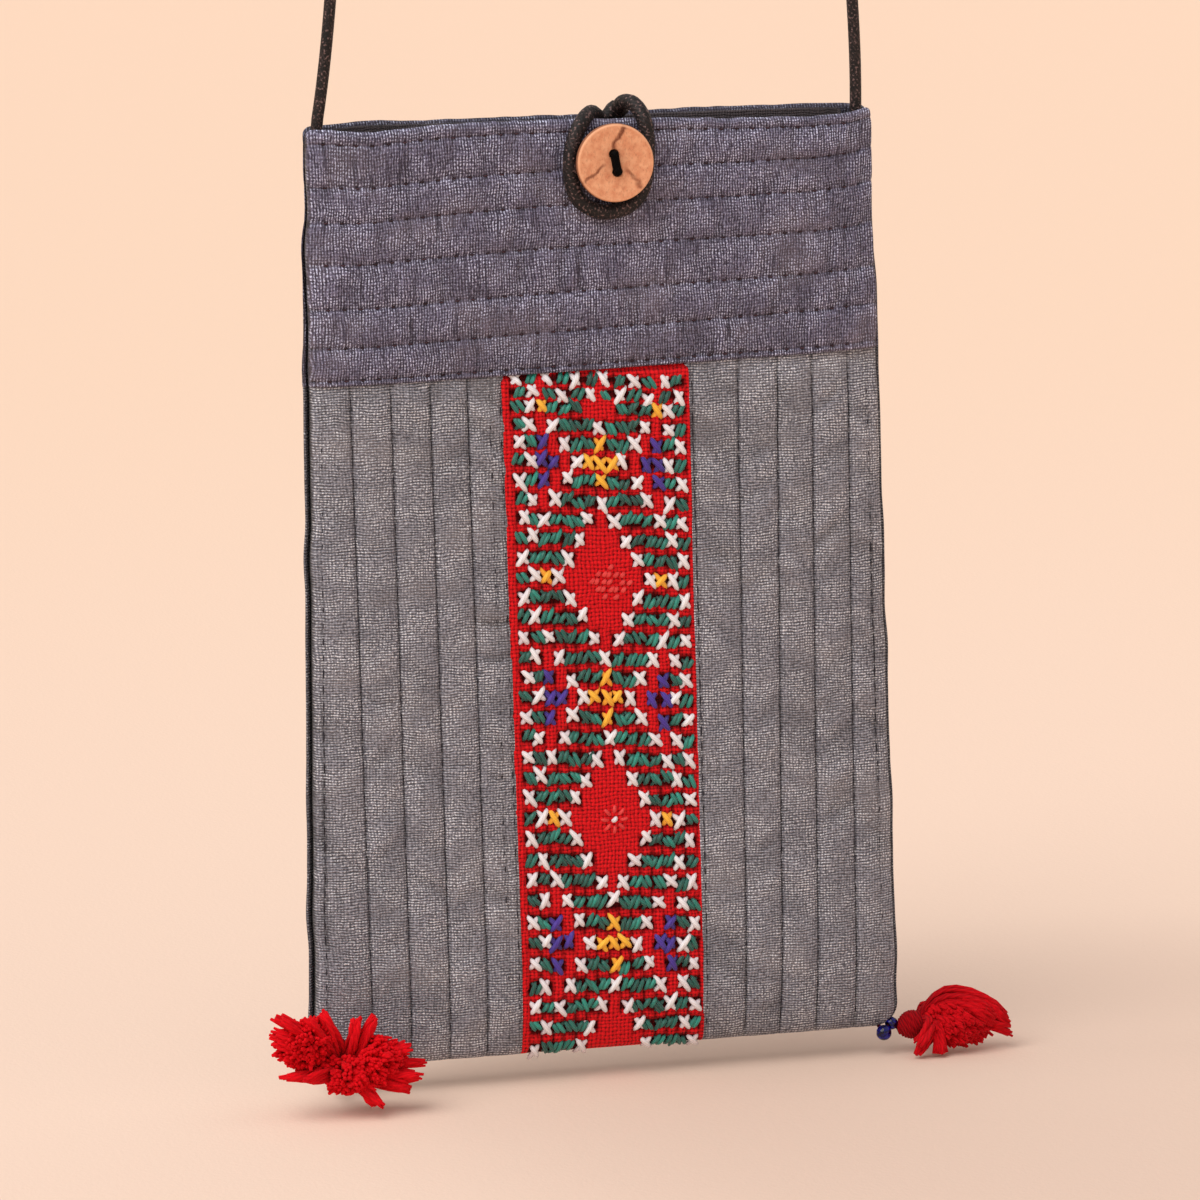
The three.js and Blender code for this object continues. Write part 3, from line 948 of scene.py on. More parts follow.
@dataclass
class Wall:
    """One padded wall piece: silk over wadding, held down along lines of stitches.

    The cloth's thickness is a layer at the stitches, a swell between them, random puckers across the
    lines, a groove along each line and a dimple at each needle hole. At each free edge it rolls over to
    meet its own back. The back wall's sides bulge forward past the front wall's, so that a round edge shows
    beside a gap that painted shade makes dark. The mesh's shade is painted light and shade: darker along
    the lines, at needle holes, at the side edges and on the inside, lighter and darker over the puckers.
    """

    name: str
    face: Face
    shape: PouchShape
    slot: str
    silk: Material
    thread: Material
    seed: int
    cloth: float = 1.45 * MM
    swell: float = 0.7 * MM
    full_rib: float = 7.5 * MM
    edge_fullness: float = 0.75
    pucker: float = 0.16 * MM
    dimple: float = 0.3 * MM
    pitch: float = 3.2 * MM
    thread_radius: float = 0.17 * MM
    thread_share: float = 0.9
    hole_reach: float = 0.45 * MM
    bead_width: float = 1.0 * MM
    bead_depth: float = 0.55 * MM
    groove: float = 0.18 * MM
    groove_width: float = 0.28 * MM
    uneven: float = 0.3 * MM
    least_pucker: float = 0.35
    line_shade: float = 0.36
    hole_shade: float = 0.3
    broad_shade: float = 0.05
    # Painted shade: the darkest shade of a wall's inside and of the front wall's side edge
    dim: float = 0.08
    rim_dark: float = 0.05

    def inset(self) -> float:
        """Gives how far a side edge stays inside the outline; the back wall's edge shows past the front's."""
        return 0.3 * MM if self.face is Face.FRONT else -0.75 * MM

    def side_round(self) -> float:
        """Gives the radius of a side edge: crisp in front, rounder behind."""
        return 0.6 * MM if self.face is Face.FRONT else 1.0 * MM

    def rim_shade(self, roll: Array) -> Array:
        """Darkens a side edge towards the seam, most of all the front one."""
        least = self.rim_dark if self.face is Face.FRONT else 0.4
        return least + (1 - least) * np.clip(roll / 0.75, 0, 1) ** 3

    def bead(self, distance: Array) -> Array:
        """Gives the round bulge, 0 to 1, along the edge of the back wall that shows beside the front one."""
        share = np.clip(distance / self.bead_width, 0, 1)
        return np.sqrt(4 * share * (1 - share)) * (self.face is Face.BACK)

    def fullness(self, share: Array, width: Array, free_start: Array, free_end: Array) -> Array:
        """Gives the swell over a rib.

        Args:
            share: place across the rib, 0 to 1.
            width: the rib's width; a narrow rib swells less.
            free_start: whether no stitches hold the rib's start, so that it stays up there.
            free_end: the same for its end.

        Returns:
            A rounded arch from 0 to 1.
        """
        arch = (4 * share * (1 - share)) ** 0.7
        free = np.where(share < 0.5, free_start, free_end)
        arch = np.where(free, self.edge_fullness + (1 - self.edge_fullness) * arch, arch)
        return arch * np.clip(width / self.full_rib, 0.2, 1)

    def needle(self, along: Array, beside: Array) -> Array:
        """Gives the mark of the nearest needle hole, 1 at a hole and fading round it."""
        step = (along / self.pitch - np.round(along / self.pitch)) * self.pitch
        return np.exp(-(step**2 + beside**2) / self.hole_reach**2)

    def cover(self, skin: Surface) -> None:
        """Makes the wall's padded cloth from its closed skin."""
        skin.piece(f"{self.name}_silk", self.silk, [self.name], self.slot)

    def sew(self, start: Array, end: Array) -> None:
        """Lays a thread from each start to each end, rising out of one hole and into the next.

        Args:
            start: places where threads come out.
            end: places where they go in.
        """
        share = np.linspace(0, 1, 6)
        outwards = np.array([0.0, self.face.value, 0.0])
        rise = (np.sin(np.pi * share) * 1.6 - 0.7) * self.thread_radius
        path = start[:, None] + (end - start)[:, None] * share[:, None] + rise[:, None] * outwards
        taper = 0.6 + 0.4 * np.sin(np.pi * share)
        threads = tube(path, self.thread_radius * taper, outwards, THREAD_SIDES)
        light = np.random.default_rng(self.seed).uniform(0.1, 0.9, len(path))
        threads.shade = np.repeat(light, len(share) * THREAD_SIDES)
        threads.piece(f"{self.name}_stitching", self.thread, [], self.slot)


@dataclass
class Yoke(Wall):
    """The band over the top of a wall, quilted in rows that tilt a little."""

    rows: tuple[float, ...] = (2.4, 9.8, 16.7, 25, 33.8, 41.5, 48.6)
    tilts: Table = ((0, 0), (9.8, 0.03), (41.5, 0.035), (50, 0.021))
    steps: int = 9
    columns: int = 330
    hem_round: float = 1.1 * MM
    foot_round: float = 0.5 * MM
    proud: float = 0.45 * MM
    hem: float = 4 * MM
    ragged: float = 0.17 * MM
    corner: float = 1.6 * MM
    groove: float = 0.15 * MM
    groove_width: float = 0.3 * MM
    gathers: Ripple = Ripple(1.9 * MM, 8 * MM, 0, 17)
    fine_gathers: Ripple = Ripple(0.9 * MM, 5 * MM, 1, 31)
    broad: Ripple = Ripple(26 * MM, 17 * MM, 2)
    frayed: float = 2.3 * MM
    least_pucker: float = 0.4
    line_shade: float = 0.12
    hole_shade: float = 0.6
    gather_shade: float = 0.17
    broad_shade: float = 0.1
    dim: float = 0.2
    rim_dark: float = 0.35

    def edges(self) -> Array:
        """Gives the hem, the rows and the foot, down from the mouth."""
        return np.array([0, *self.rows, self.shape.yoke / MM]) * MM

    def side(self, below: Array) -> Array:
        """Gives half the band's width: the outline at the mouth, and the wall's inset from it at the foot."""
        return self.shape.half_width(self.shape.height - below) - self.inset() * below / self.shape.yoke

    def corner_drop(self, across: Array, below: Array) -> Array:
        """Gives how far the mouth's corners are rounded off: a quarter circle at the hem, fading below it."""
        share = np.clip(1 - (self.side(below) - np.abs(across)) / self.corner, 0, 1)
        return self.corner * (1 - np.sqrt(1 - share**2)) * self.lip(below)

    def drop(self, across: Array, below: Array) -> Array:
        """Gives how far a point hangs below its level: sag, ragged hem and corners less the rows' tilt."""
        tilt = lookup(self.tilts, below / MM)
        ragged = random_field(across / self.frayed, 0.5 + 0 * across, self.seed + 5) * self.ragged
        sag = self.shape.sag(self.face, across, below) + self.corner_drop(across, below)
        return sag - tilt * across + ragged * self.lip(below)

    def lip(self, below: Array) -> Array:
        """Gives the nearness to the hem, from 1 on it to 0 below its fold."""
        return np.clip(1 - below / self.hem, 0, 1)

    def thickness(self, across: Array, below: Array) -> tuple[Array, Array]:
        """Works out the cloth's thickness and shade at points of the band."""
        edges = self.edges()
        rib, share = rib_share(below, edges)
        full = self.fullness(share, np.diff(edges)[rib], rib == 0, rib == len(edges) - 2)
        beside = np.abs(below[None] - np.array(self.rows)[:, None, None] * MM).min(axis=0)
        hole = self.needle(across, beside)
        wave = self.gathers.at(across, below, self.seed, rib)
        wave = wave + 0.5 * self.fine_gathers.at(across, below, self.seed, rib)
        broad = self.broad.at(across, below, self.seed)
        ripple = self.pucker * np.clip(full, self.least_pucker, 1) * wave
        thick = self.cloth + self.proud + self.swell * full + ripple + self.uneven * broad
        line = np.exp(-((beside / self.groove_width) ** 2))
        # Painted shade along the rows and at needle holes, painted light and shade over the gathers and broad
        # swells
        shade = 1 - self.line_shade * line - self.hole_shade * hole**2
        shade = shade + self.gather_shade * wave + self.broad_shade * broad
        return thick - self.dimple * hole - self.groove * line, shade

    def on_cloth(self, across: Array, below: Array) -> Array:
        """Puts points on the outside of the band."""
        thick, _ = self.thickness(across, below)
        level = self.shape.height - below
        return self.shape.place(self.face, across, level, thick, self.drop(across, below))

    def skin(self) -> Surface:
        """Works out the closed band: a grid of rows down it and columns that crowd at its sides."""
        below = crowded(self.edges(), self.steps)[::-1, None]
        level = self.shape.height - below
        turn = np.linspace(-1, 1, self.columns + 1)
        share = -self.face.value * np.sign(turn) * (1 - (1 - np.abs(turn)) ** 1.3)
        half = self.side(below)
        across = half * share
        below, level = np.broadcast_to(below, across.shape), np.broadcast_to(level, across.shape)
        thick, shade = self.thickness(across, below)
        side = rolled(half - np.abs(across), self.side_round())
        roll = side * rolled(below, self.hem_round) * rolled(self.shape.yoke - below, self.foot_round)
        bead = self.bead(half - np.abs(across)) * (below / self.shape.yoke) ** 2
        middle, drop = 0.5 * self.lip(below), self.drop(across, below)
        lift = thick * middle * (1 - roll) - self.bead_depth * bead
        outer = self.shape.place(self.face, across, level, thick * (middle + (1 - middle) * roll), drop)
        inner = self.shape.place(self.face, across, level, lift, drop)
        shade = shade * self.rim_shade(side)
        # Painted shade: the back wall's outside is darker along the top of the mouth
        if self.face is Face.BACK:
            shade = shade * (1 - 0.5 * self.lip(3 * below))
        # Painted shade on the inside: dark, lighter on the back wall's bulging edge and near the hem
        inside = np.maximum(self.dim + 0.8 * bead**2, 0.6 * self.lip(below))
        return closed_shell(outer, inner, np.stack([across, level], -1) / MM, shade, inside)

    def build(self) -> None:
        """Makes the band and the thread of its rows."""
        self.cover(self.skin())
        holes = np.arange(-17, 17) * self.pitch
        across, below = np.meshgrid(holes, np.array(self.rows) * MM)
        length = self.thread_share * self.pitch
        start, end = self.on_cloth(across - length / 2, below), self.on_cloth(across + length / 2, below)
        self.sew(start.reshape(-1, 3), end.reshape(-1, 3))


@dataclass
class Panel(Wall):
    """A panel below the yoke, quilted in upright ribs between slanting lines.

    Each line is its distance across at the yoke's seam and at the base. None stands for the side seam.
    Each crease is its middle across, its level, its half length, in millimetres, and its depth from 0 to 1.
    """

    lines: tuple[tuple[float, float] | None, ...] = ()
    creases: Table = ()
    topstitch: tuple[tuple[int, float], ...] = ()
    steps: int = 14
    rows: int = 190
    fold_round: float = 0.6 * MM
    base_round: float = 1.8 * MM
    tuck: float = 2.4 * MM
    pressed: float = 7 * MM
    pucker: float = 0.38 * MM
    press_share: float = 0.8
    press_depth: float = 0.3 * MM
    fold_depth: float = 0.4 * MM
    fold_width_mm: float = 0.75
    fold_shade: float = 0.45
    slants: tuple[float, float] = (0.8, -0.65)
    drag: Ripple = Ripple(3.9 * MM, 12 * MM, 0, 13, 7)
    fine: Ripple = Ripple(1.4 * MM, 5 * MM, 1, 29)
    broad: Ripple = Ripple(24 * MM, 31 * MM, 2)
    strength: Ripple = Ripple(13 * MM, 17 * MM, 3)
    least_drag: float = 0.45
    drag_dark: float = 0.26
    drag_light: float = 0.1

    def top(self) -> float:
        """Gives the level of the top edge, tucked under the yoke."""
        return self.shape.seam_level() + self.tuck

    def line(self, number: int, level: Array) -> Array:
        """Gives a line's distance across at a level."""
        ends = self.lines[number]
        if ends is None:
            sign = -1.0 if number == 0 else 1.0
            return sign * -self.face.value * (self.shape.half_width(level) - self.inset())
        share = level / self.shape.seam_level()
        return (ends[1] + (ends[0] - ends[1]) * share) * MM

    def stitched(self, level: Array) -> list[Array]:
        """Gives the distance across of each line that is sewn: the ribs' lines, then the topstitching."""
        ribs = [self.line(i, level) for i in range(1, len(self.lines) - 1)]
        return ribs + [self.line(edge, level) + offset * MM for edge, offset in self.topstitch]

    def creased(self, across: Array, level: Array) -> Array:
        """Gives the depth of the level creases: each fades to its ends, and quickly above and below it."""
        total = np.zeros(np.broadcast(across, level).shape)
        for middle, height, reach, depth in self.creases:
            along = (across / MM - middle) / reach
            above = level / MM - height - 0.8 * along**2
            total = total + depth * np.exp(-(along**4) - (above / self.fold_width_mm) ** 2)
        return total

    def thickness(self, across: Array, level: Array) -> tuple[Array, Array]:
        """Works out the cloth's thickness and shade at points of the panel."""
        order = -self.face.value
        lines = np.stack(np.broadcast_arrays(*[order * self.line(i, level) for i in range(len(self.lines))]))
        rib, share = rib_share(order * across, lines)
        width = np.diff(lines, axis=0).mean(axis=tuple(range(1, lines.ndim)))[rib]
        full = self.fullness(share, width, rib == 0, rib == len(lines) - 2)
        sewn = np.stack([np.abs(across - line) for line in self.stitched(level)]).min(axis=0)
        hole = self.needle(level, sewn)
        line = np.exp(-((sewn / self.groove_width) ** 2))
        slant = level + np.where(rib % 2 == 0, *self.slants) * across
        drag = self.drag.at(slant, across, self.seed, rib) + 0.3 * self.fine.at(slant, across, self.seed, rib)
        broad = self.broad.at(across, level, self.seed)
        strong = np.clip(self.strength.at(across, level, self.seed) + 0.4, 0, 1)
        drag = (self.least_drag + (1 - self.least_drag) * strong) * drag
        ripple = self.pucker * np.clip(full, self.least_pucker, 1) * drag
        flat = np.clip((level - self.top() + self.tuck + self.pressed) / self.pressed, 0, 1)
        raised = self.swell * full + ripple + self.uneven * broad
        thick = self.cloth + raised * (1 - self.press_share * flat**2)
        thick = thick - self.press_depth * flat**2 - self.groove * line - 0.5 * self.dimple * hole
        # Painted light and shade over the drag folds and broad swells, painted shade on lines, holes and
        # creases
        lit = np.where(drag < 0, self.drag_dark, self.drag_light) * drag + self.broad_shade * broad
        creased = self.creased(across, level)
        shade = 1 - self.line_shade * line - self.hole_shade * hole**2 + lit - self.fold_shade * creased
        return thick - self.fold_depth * creased, shade

    def on_cloth(self, across: Array, level: Array) -> Array:
        """Puts points on the outside of the panel."""
        thick, _ = self.thickness(across, level)
        return self.shape.place(self.face, across, level, thick)

    def grid(self) -> tuple[Array, Array]:
        """Sets out the panel's columns between its lines and its rows up from the base.

        Returns:
            Distances across and levels, by rows and columns.
        """
        level = self.top() * np.linspace(0, 1, self.rows + 1)[:, None] ** 1.2
        ribs = len(self.lines) - 1
        column = np.arange(ribs * self.steps + 1)
        rib = np.minimum(column // self.steps, ribs - 1)
        share = (1 - np.cos(np.pi * (column / self.steps - rib))) / 2
        lines = np.stack([self.line(i, level)[:, 0] for i in range(ribs + 1)], axis=1)
        across = lines[:, rib] * (1 - share) + lines[:, rib + 1] * share
        return across, np.broadcast_to(level, across.shape)

    def skin(self) -> Surface:
        """Works out the closed panel."""
        across, level = self.grid()
        thick, shade = self.thickness(across, level)
        roll = rolled(level, self.base_round) * rolled(self.top() - level, self.fold_round)
        bead = np.zeros(across.shape)
        for edge in (0, -1):
            distance = np.abs(across - across[:, edge, None])
            if self.lines[edge] is None:
                side = rolled(distance, self.side_round())
                roll, shade = roll * side, shade * self.rim_shade(side)
                bead = bead + self.bead(distance)
            else:
                roll = roll * rolled(distance, self.fold_round)
        outer = self.shape.place(self.face, across, level, thick * roll)
        inner = self.shape.place(self.face, across, level, -self.bead_depth * bead)
        uv = np.stack([across, level], -1) / MM
        # Painted shade on the inside: dark, lighter on the back wall's bulging edge
        return closed_shell(outer, inner, uv, shade, self.dim + 0.8 * bead**2)

    def build(self) -> None:
        """Makes the panel and the thread of its lines."""
        self.cover(self.skin())
        holes = np.arange(1, int(self.shape.seam_level() / self.pitch)) * self.pitch
        start, end = holes + 0.05 * self.pitch, holes + (0.05 + self.thread_share) * self.pitch
        first = [self.on_cloth(across[None], start[None])[0] for across in self.stitched(start)]
        last = [self.on_cloth(across[None], end[None])[0] for across in self.stitched(end)]
        self.sew(np.concatenate(first), np.concatenate(last))


# Cross stitch


class Yarn(Enum):
    """The colours of embroidery thread, by their letter in the chart."""

    WHITE = "W"
    GREEN = "G"
    YELLOW = "Y"
    PURPLE = "P"


@dataclass
class CrossStitchStrip:
    """The red cotton strip and its counted cross stitch.

    The chart holds the left half of each row up to the middle column, from the middle of a plus to the
    middle of a diamond. Each row is mirrored about the middle column, and the rows run up and down about
    the plus, so that twelve rows make the repeat. Two wider spaced border rows lie above them.
    """

    shape: PouchShape
    cotton: Material
    yarns: dict[Yarn, Material]
    fleck: Material
    seam_centre: float = -1.2 * MM
    base_centre: float = 0.2 * MM
    width: float = 37 * MM
    under: float = 0.9 * MM
    tuck: float = 2.4 * MM
    cloth: float = 1.05 * MM
    puff: float = 0.85 * MM
    pressed: float = 0.45 * MM
    columns: int = 15
    column_pitch: float = 2.36 * MM
    border_pitch: float = 2.95 * MM
    stitch_shift: float = 0.5 * MM
    yoke_tilt: float = 0.021
    press_reach: float = 1.3 * MM
    edge_round: float = 0.4 * MM
    base_round: float = 1.8 * MM
    row_wander: Ripple = Ripple(2.1 * MM, 3.7 * MM, 0)
    column_wander: Ripple = Ripple(3.1 * MM, 2.3 * MM, 1)
    broad: Ripple = Ripple(9 * MM, 9 * MM, 0)
    grid_rows: int = 400
    grid_columns: int = 120
    seed: int = 5

    # The middles of the two bare diamonds, across and up
    upper_diamond: tuple[float, float] = (0.9 * MM, 97.2 * MM)
    lower_diamond: tuple[float, float] = (0.9 * MM, 48.6 * MM)

    # How much the rows tilt, by the level
    tilts: Table = ((0, 0.02), (15, 0.05), (30, 0.085), (140, 0.085))

    chart: tuple[str, ...] = (
        "GWPP.WYY",
        "WGP.WGGY",
        "GW.WGGGW",
        "WGWGGGW.",
        "GWGGGW..",
        "WGGGW...",
        "GWYW....",
    )
    top_row: str = "GWYGGG.."
    border: tuple[str, ...] = ("WGWGWGWGWGWG", "GWGWGWGWGWGW")

    # Rows are counted down from the first plus: the first of the border, the top one of the chart, the last
    first_row: int = -5
    chart_top: int = -3
    last_row: int = 29

    # Rows and their levels in the middle of the strip
    row_levels: Table = (
        (-6, 141.0), (-5, 138.0), (-4, 135.2), (-3, 132.4), (0, 121.5),
        (6, 97.9), (12, 73.5), (18, 48.7), (24, 22.9), (30, -3.0),
    )

    def centre(self, level: Array) -> Array:
        """Gives the strip's middle at a level, on a line that slants from the seam to the base."""
        share = level / self.shape.seam_level()
        return self.base_centre + (self.seam_centre - self.base_centre) * share

    def chart_row(self, row: int) -> str:
        """Gives the letters of a whole row.

        Args:
            row: its number, counted down from the first plus.

        Returns:
            One letter for each column, with a dot where the cotton is bare.
        """
        if row < self.chart_top:
            return self.border[row - self.first_row]
        repeat = 2 * (len(self.chart) - 1)
        step = row % repeat
        half = self.top_row if row == self.chart_top else self.chart[min(step, repeat - step)]
        return half + half[-2::-1]

    def cells(self) -> tuple[Array, Array, Array]:
        """Gives each stitch's row, its distance from the strip's middle and its letter."""
        row, offset, letter = [], [], []
        for number in range(self.first_row, self.last_row + 1):
            letters = np.array(list(self.chart_row(number)))
            pitch = self.border_pitch if number < self.chart_top else self.column_pitch
            place = (np.arange(len(letters)) - (len(letters) - 1) / 2) * pitch
            kept = letters != "."
            row.append(np.full(kept.sum(), number))
            offset.append(place[kept] + self.stitch_shift)
            letter.append(letters[kept])
        return np.concatenate(row), np.concatenate(offset), np.concatenate(letter)

    def tilt(self, level: Array) -> Array:
        """Gives how much the rows fall towards the right at a level."""
        return lookup(self.tilts, level / MM)

    def cell_level(self, row: Array, offset: Array) -> Array:
        """Gives the level of a row at a distance from the strip's middle."""
        level = lookup(self.row_levels, row) * MM
        return level - self.tilt(level) * offset

    def column(self, offset: Array) -> Array:
        """Gives the chart's column, counted from 0 at the left, at a distance from the strip's middle."""
        return (offset - self.stitch_shift) / self.column_pitch + (self.columns - 1) / 2

    def filled(self, row: Array, column: Array) -> Array:
        """Gives 1 where a cell holds a stitch and 0 where it is bare or off the chart."""
        spare = 3
        table = np.zeros((self.last_row - self.first_row + 2 * spare + 1, self.columns + 2 * spare))
        cell_row, cell_offset, _ = self.cells()
        cell_column = np.round(self.column(cell_offset)).astype(int)
        table[cell_row - self.first_row + spare, cell_column + spare] = 1
        return table[row - self.first_row + spare, column + spare]

    def under_yoke(self, across: Array, level: Array) -> Array:
        """Climbs smoothly from 0 to 1 where the yoke's slanting edge presses the strip flat."""
        above = level - self.yoke_tilt * across - self.shape.height + self.shape.yoke
        return smooth_step(np.clip(above / self.press_reach + 1, 0, 1))

    def thickness(self, across: Array, level: Array) -> tuple[Array, Array]:
        """Works out the cotton's thickness and shade: it puffs up between the stitches that squeeze it.

        Between two rows of stitches the puff is a parabola, and another one brings it down into a groove
        where two columns meet. Bare cloth stands at the full height.

        Args:
            across: distances across the pouch.
            level: heights above the base.

        Returns:
            The thickness and the shade.
        """
        offset = across - self.centre(level)
        row_at = [pair[::-1] for pair in self.row_levels[::-1]]
        row = lookup(row_at, (level + self.tilt(level) * offset) / MM)
        row = row + 0.13 * self.row_wander.at(across, level, self.seed)
        column = self.column(offset) + 0.16 * self.column_wander.at(across, level, self.seed)
        near_row = np.clip(np.round(row).astype(int), self.first_row - 1, self.last_row + 1)
        near = np.clip(np.round(column).astype(int), -1, self.columns)
        above, beside = np.abs(row - near_row), column - near
        here = self.filled(near_row, near)
        next_door = self.filled(near_row, near + np.where(beside < 0, -1, 1))
        puff = np.clip(1 - ((0.5 - above) / 0.31) ** 2, 0, 1)
        groove = 1 - np.clip(1 - (0.5 - np.abs(beside)) / 0.34, 0, 1) ** 2
        deep = np.where(here * next_door > 0, 0.85, 0.4 * np.maximum(here, next_door))
        height = (1 - here * (1 - puff)) * (1 - deep * (1 - groove))
        flat = self.under_yoke(across, level)
        thick = self.cloth + self.puff * height + 0.1 * MM * self.broad.at(across, level, self.seed)
        # Painted shade: the cotton is darker the lower it sinks between and under the stitches
        return thick * (1 - flat) + self.pressed * flat, 0.1 + 0.9 * height

    def on_cloth(self, across: Array, level: Array, lift: Array | float = 0.0) -> Array:
        """Puts points above the cotton at the stitches, which pull it flat."""
        flat = self.under_yoke(across, level)
        depth = self.cloth * (1 - flat) + 0.5 * self.pressed * flat
        return self.shape.place(Face.FRONT, across, level, depth + lift * (1 - 0.6 * flat))

    def ground(self) -> Surface:
        """Works out the closed strip, whose sides reach under the panels beside it."""
        top = self.shape.seam_level() + self.tuck
        level = top * np.linspace(0, 1, self.grid_rows + 1)[:, None] ** 1.05
        half = self.width / 2 + self.under
        offset = np.linspace(-1, 1, self.grid_columns + 1) * half
        across = self.centre(level) + offset
        level = np.broadcast_to(level, across.shape)
        thick, shade = self.thickness(across, level)
        edge = rolled(half - np.abs(offset), self.edge_round)
        roll = edge * rolled(level, self.base_round) * rolled(top - level, self.edge_round)
        outer = self.shape.place(Face.FRONT, across, level, thick * roll)
        inner = self.shape.place(Face.FRONT, across, level, 0.0)
        return closed_shell(outer, inner, np.stack([across, level], -1) / MM, shade, shade)

    def arms(
        self,
        across: Array,
        level: Array,
        half: Array,
        slope: Array,
        radius: float,
        rise: float,
        light: tuple[float, float] = (0.5, 1.0),
    ) -> Surface:
        """Lays plump threads slantwise over cells, each going down into the cloth at both ends.

        Args:
            across: the middle of each thread.
            level: its height above the base.
            half: half its size across and up, one row for each thread.
            slope: 1 where it climbs to the right and -1 where it falls.
            radius: half its width.
            rise: how far its middle stands off the cloth.
            light: the darkest and the lightest shade of a thread.

        Returns:
            The threads.
        """
        share = np.linspace(-1, 1, 7)
        bow = np.sqrt(1 - 0.97 * share**2)
        x = across[:, None] + half[:, :1] * share * slope[:, None]
        z = level[:, None] + half[:, 1:] * share
        path = self.on_cloth(x, z, rise * bow)
        taper = 0.45 + 0.55 * bow
        threads = tube(path, radius * taper, FORWARD, THREAD_SIDES, 0.75)
        random = np.random.default_rng(self.seed + len(across))
        # Painted shade: a random shade within the range, darker towards both ends where the thread goes into
        # the cloth
        threads.shade = np.repeat(random.uniform(*light, (len(across), 1)) * taper, THREAD_SIDES)
        return threads

    def stitches(self, yarn: Yarn) -> Surface:
        """Works the crosses of one colour: an under thread and an over thread in each cell.

        Green cells have two fat threads side by side over a third painted darker as shade, the others have
        one over one.

        Args:
            yarn: the colour.

        Returns:
            All its threads.
        """
        row, offset, letter = self.cells()
        mine = letter == yarn.value
        random = np.random.default_rng(self.seed + ord(yarn.value))
        offset = offset[mine] + random.normal(0, 0.2 * MM, mine.sum())
        level = self.cell_level(row[mine], offset) + random.normal(0, 0.32 * MM, mine.sum())
        kept = level > 0.5 * MM
        offset, level = offset[kept], level[kept]
        across, count = self.centre(level) + offset, len(level)
        over = np.where(random.uniform(size=count) < 0.65, -1.0, 1.0)
        # The under threads take darker shades than the over threads: painted shade beneath them
        if yarn is Yarn.GREEN:
            over = -over
            layers = (
                (-over, 0.0, (0.95, 1.15), 0.42, 0.42, (0.0, 0.08)),
                (over, -0.5, (0.8, 1.36), 0.5, 0.76, (0.0, 0.55)),
                (over, 0.54, (0.8, 1.36), 0.5, 0.82, (0.05, 0.9)),
            )
        else:
            layers = (
                (-over, 0.0, (1.14, 1.52), 0.58, 0.54, (0.4, 0.85)),
                (over, 0.0, (1.24, 1.7), 0.6, 0.94, (0.7, 1.0)),
            )
        threads = []
        for slope, side, size, radius, rise, light in layers:
            half = np.array(size) * MM * random.uniform(0.7, 1.2, (count, 2))
            shift = side * MM * random.uniform(0.8, 1.15, count) + random.normal(0, 0.1 * MM, count)
            lift = random.normal(0, 0.16 * MM, count)
            place = across + shift, level + lift
            threads.append(self.arms(*place, half, slope, radius * MM, rise * MM, light))
        return Surface.joined(threads)

    def flecks(self) -> Surface:
        """Works the small paler stitches in the middle of the two diamonds.

        The upper diamond has rows of short slanting stitches, the lower has a ring of them like rays.
        """
        random = np.random.default_rng(self.seed + 9)
        column, row = (part.ravel() for part in np.meshgrid(np.arange(-3, 4), np.arange(-2, 3)))
        kept = (np.abs(column) * 0.8 + np.abs(row) < 3.0) & (random.uniform(size=len(row)) < 0.8)
        slant = column[kept] * 1.25 * MM
        right, up = self.upper_diamond
        upper = self.arms(
            right + slant + random.normal(0, 0.2 * MM, kept.sum()),
            up + row[kept] * 1.5 * MM - 0.1 * slant,
            np.array([0.5, 0.42]) * MM * random.uniform(0.8, 1.3, (kept.sum(), 2)),
            np.ones(kept.sum()),
            0.46 * MM,
            1.05 * MM,
            (0.3, 1.0),
        )
        angle = np.linspace(0, 2 * np.pi, 9)[:-1]
        out = np.stack([np.cos(angle), np.sin(angle)], axis=1)
        slope = np.where(out[:, 0] * out[:, 1] < 0, -1.0, 1.0)
        right, up = self.lower_diamond
        lower = self.arms(
            right + out[:, 0] * 2.0 * MM, up + out[:, 1] * 2.1 * MM,
            np.abs(out) * 0.8 * MM + 0.15 * MM, slope, 0.36 * MM, 1.05 * MM, (0.3, 1.0),
        )
        return Surface.joined([upper, lower])

    def knot(self) -> Surface:
        """Works the small white stitch in the middle of the lower diamond."""
        right, up = np.array([self.lower_diamond]).T
        size = np.array([[0.5, 0.45]]) * MM
        return self.arms(right, up, size, np.ones(1), 0.5 * MM, 1.2 * MM)

    def build(self) -> None:
        """Makes the cotton strip and its stitches."""
        cloth = self.ground().piece("strip_cotton", self.cotton, ["embroidered_strip"], "red_cloth")
        self.width + 2 * self.under
        self.shape.seam_level() + self.tuck
        for yarn, floss in self.yarns.items():
            self.stitches(yarn).piece(f"strip_stitches_{yarn.name.lower()}", floss, [], "red_cloth")
        self.flecks().piece("strip_flecks", self.fleck, [], "red_cloth")
        self.knot().piece("strip_knot", self.yarns[Yarn.WHITE], [], "red_cloth")


# Lining


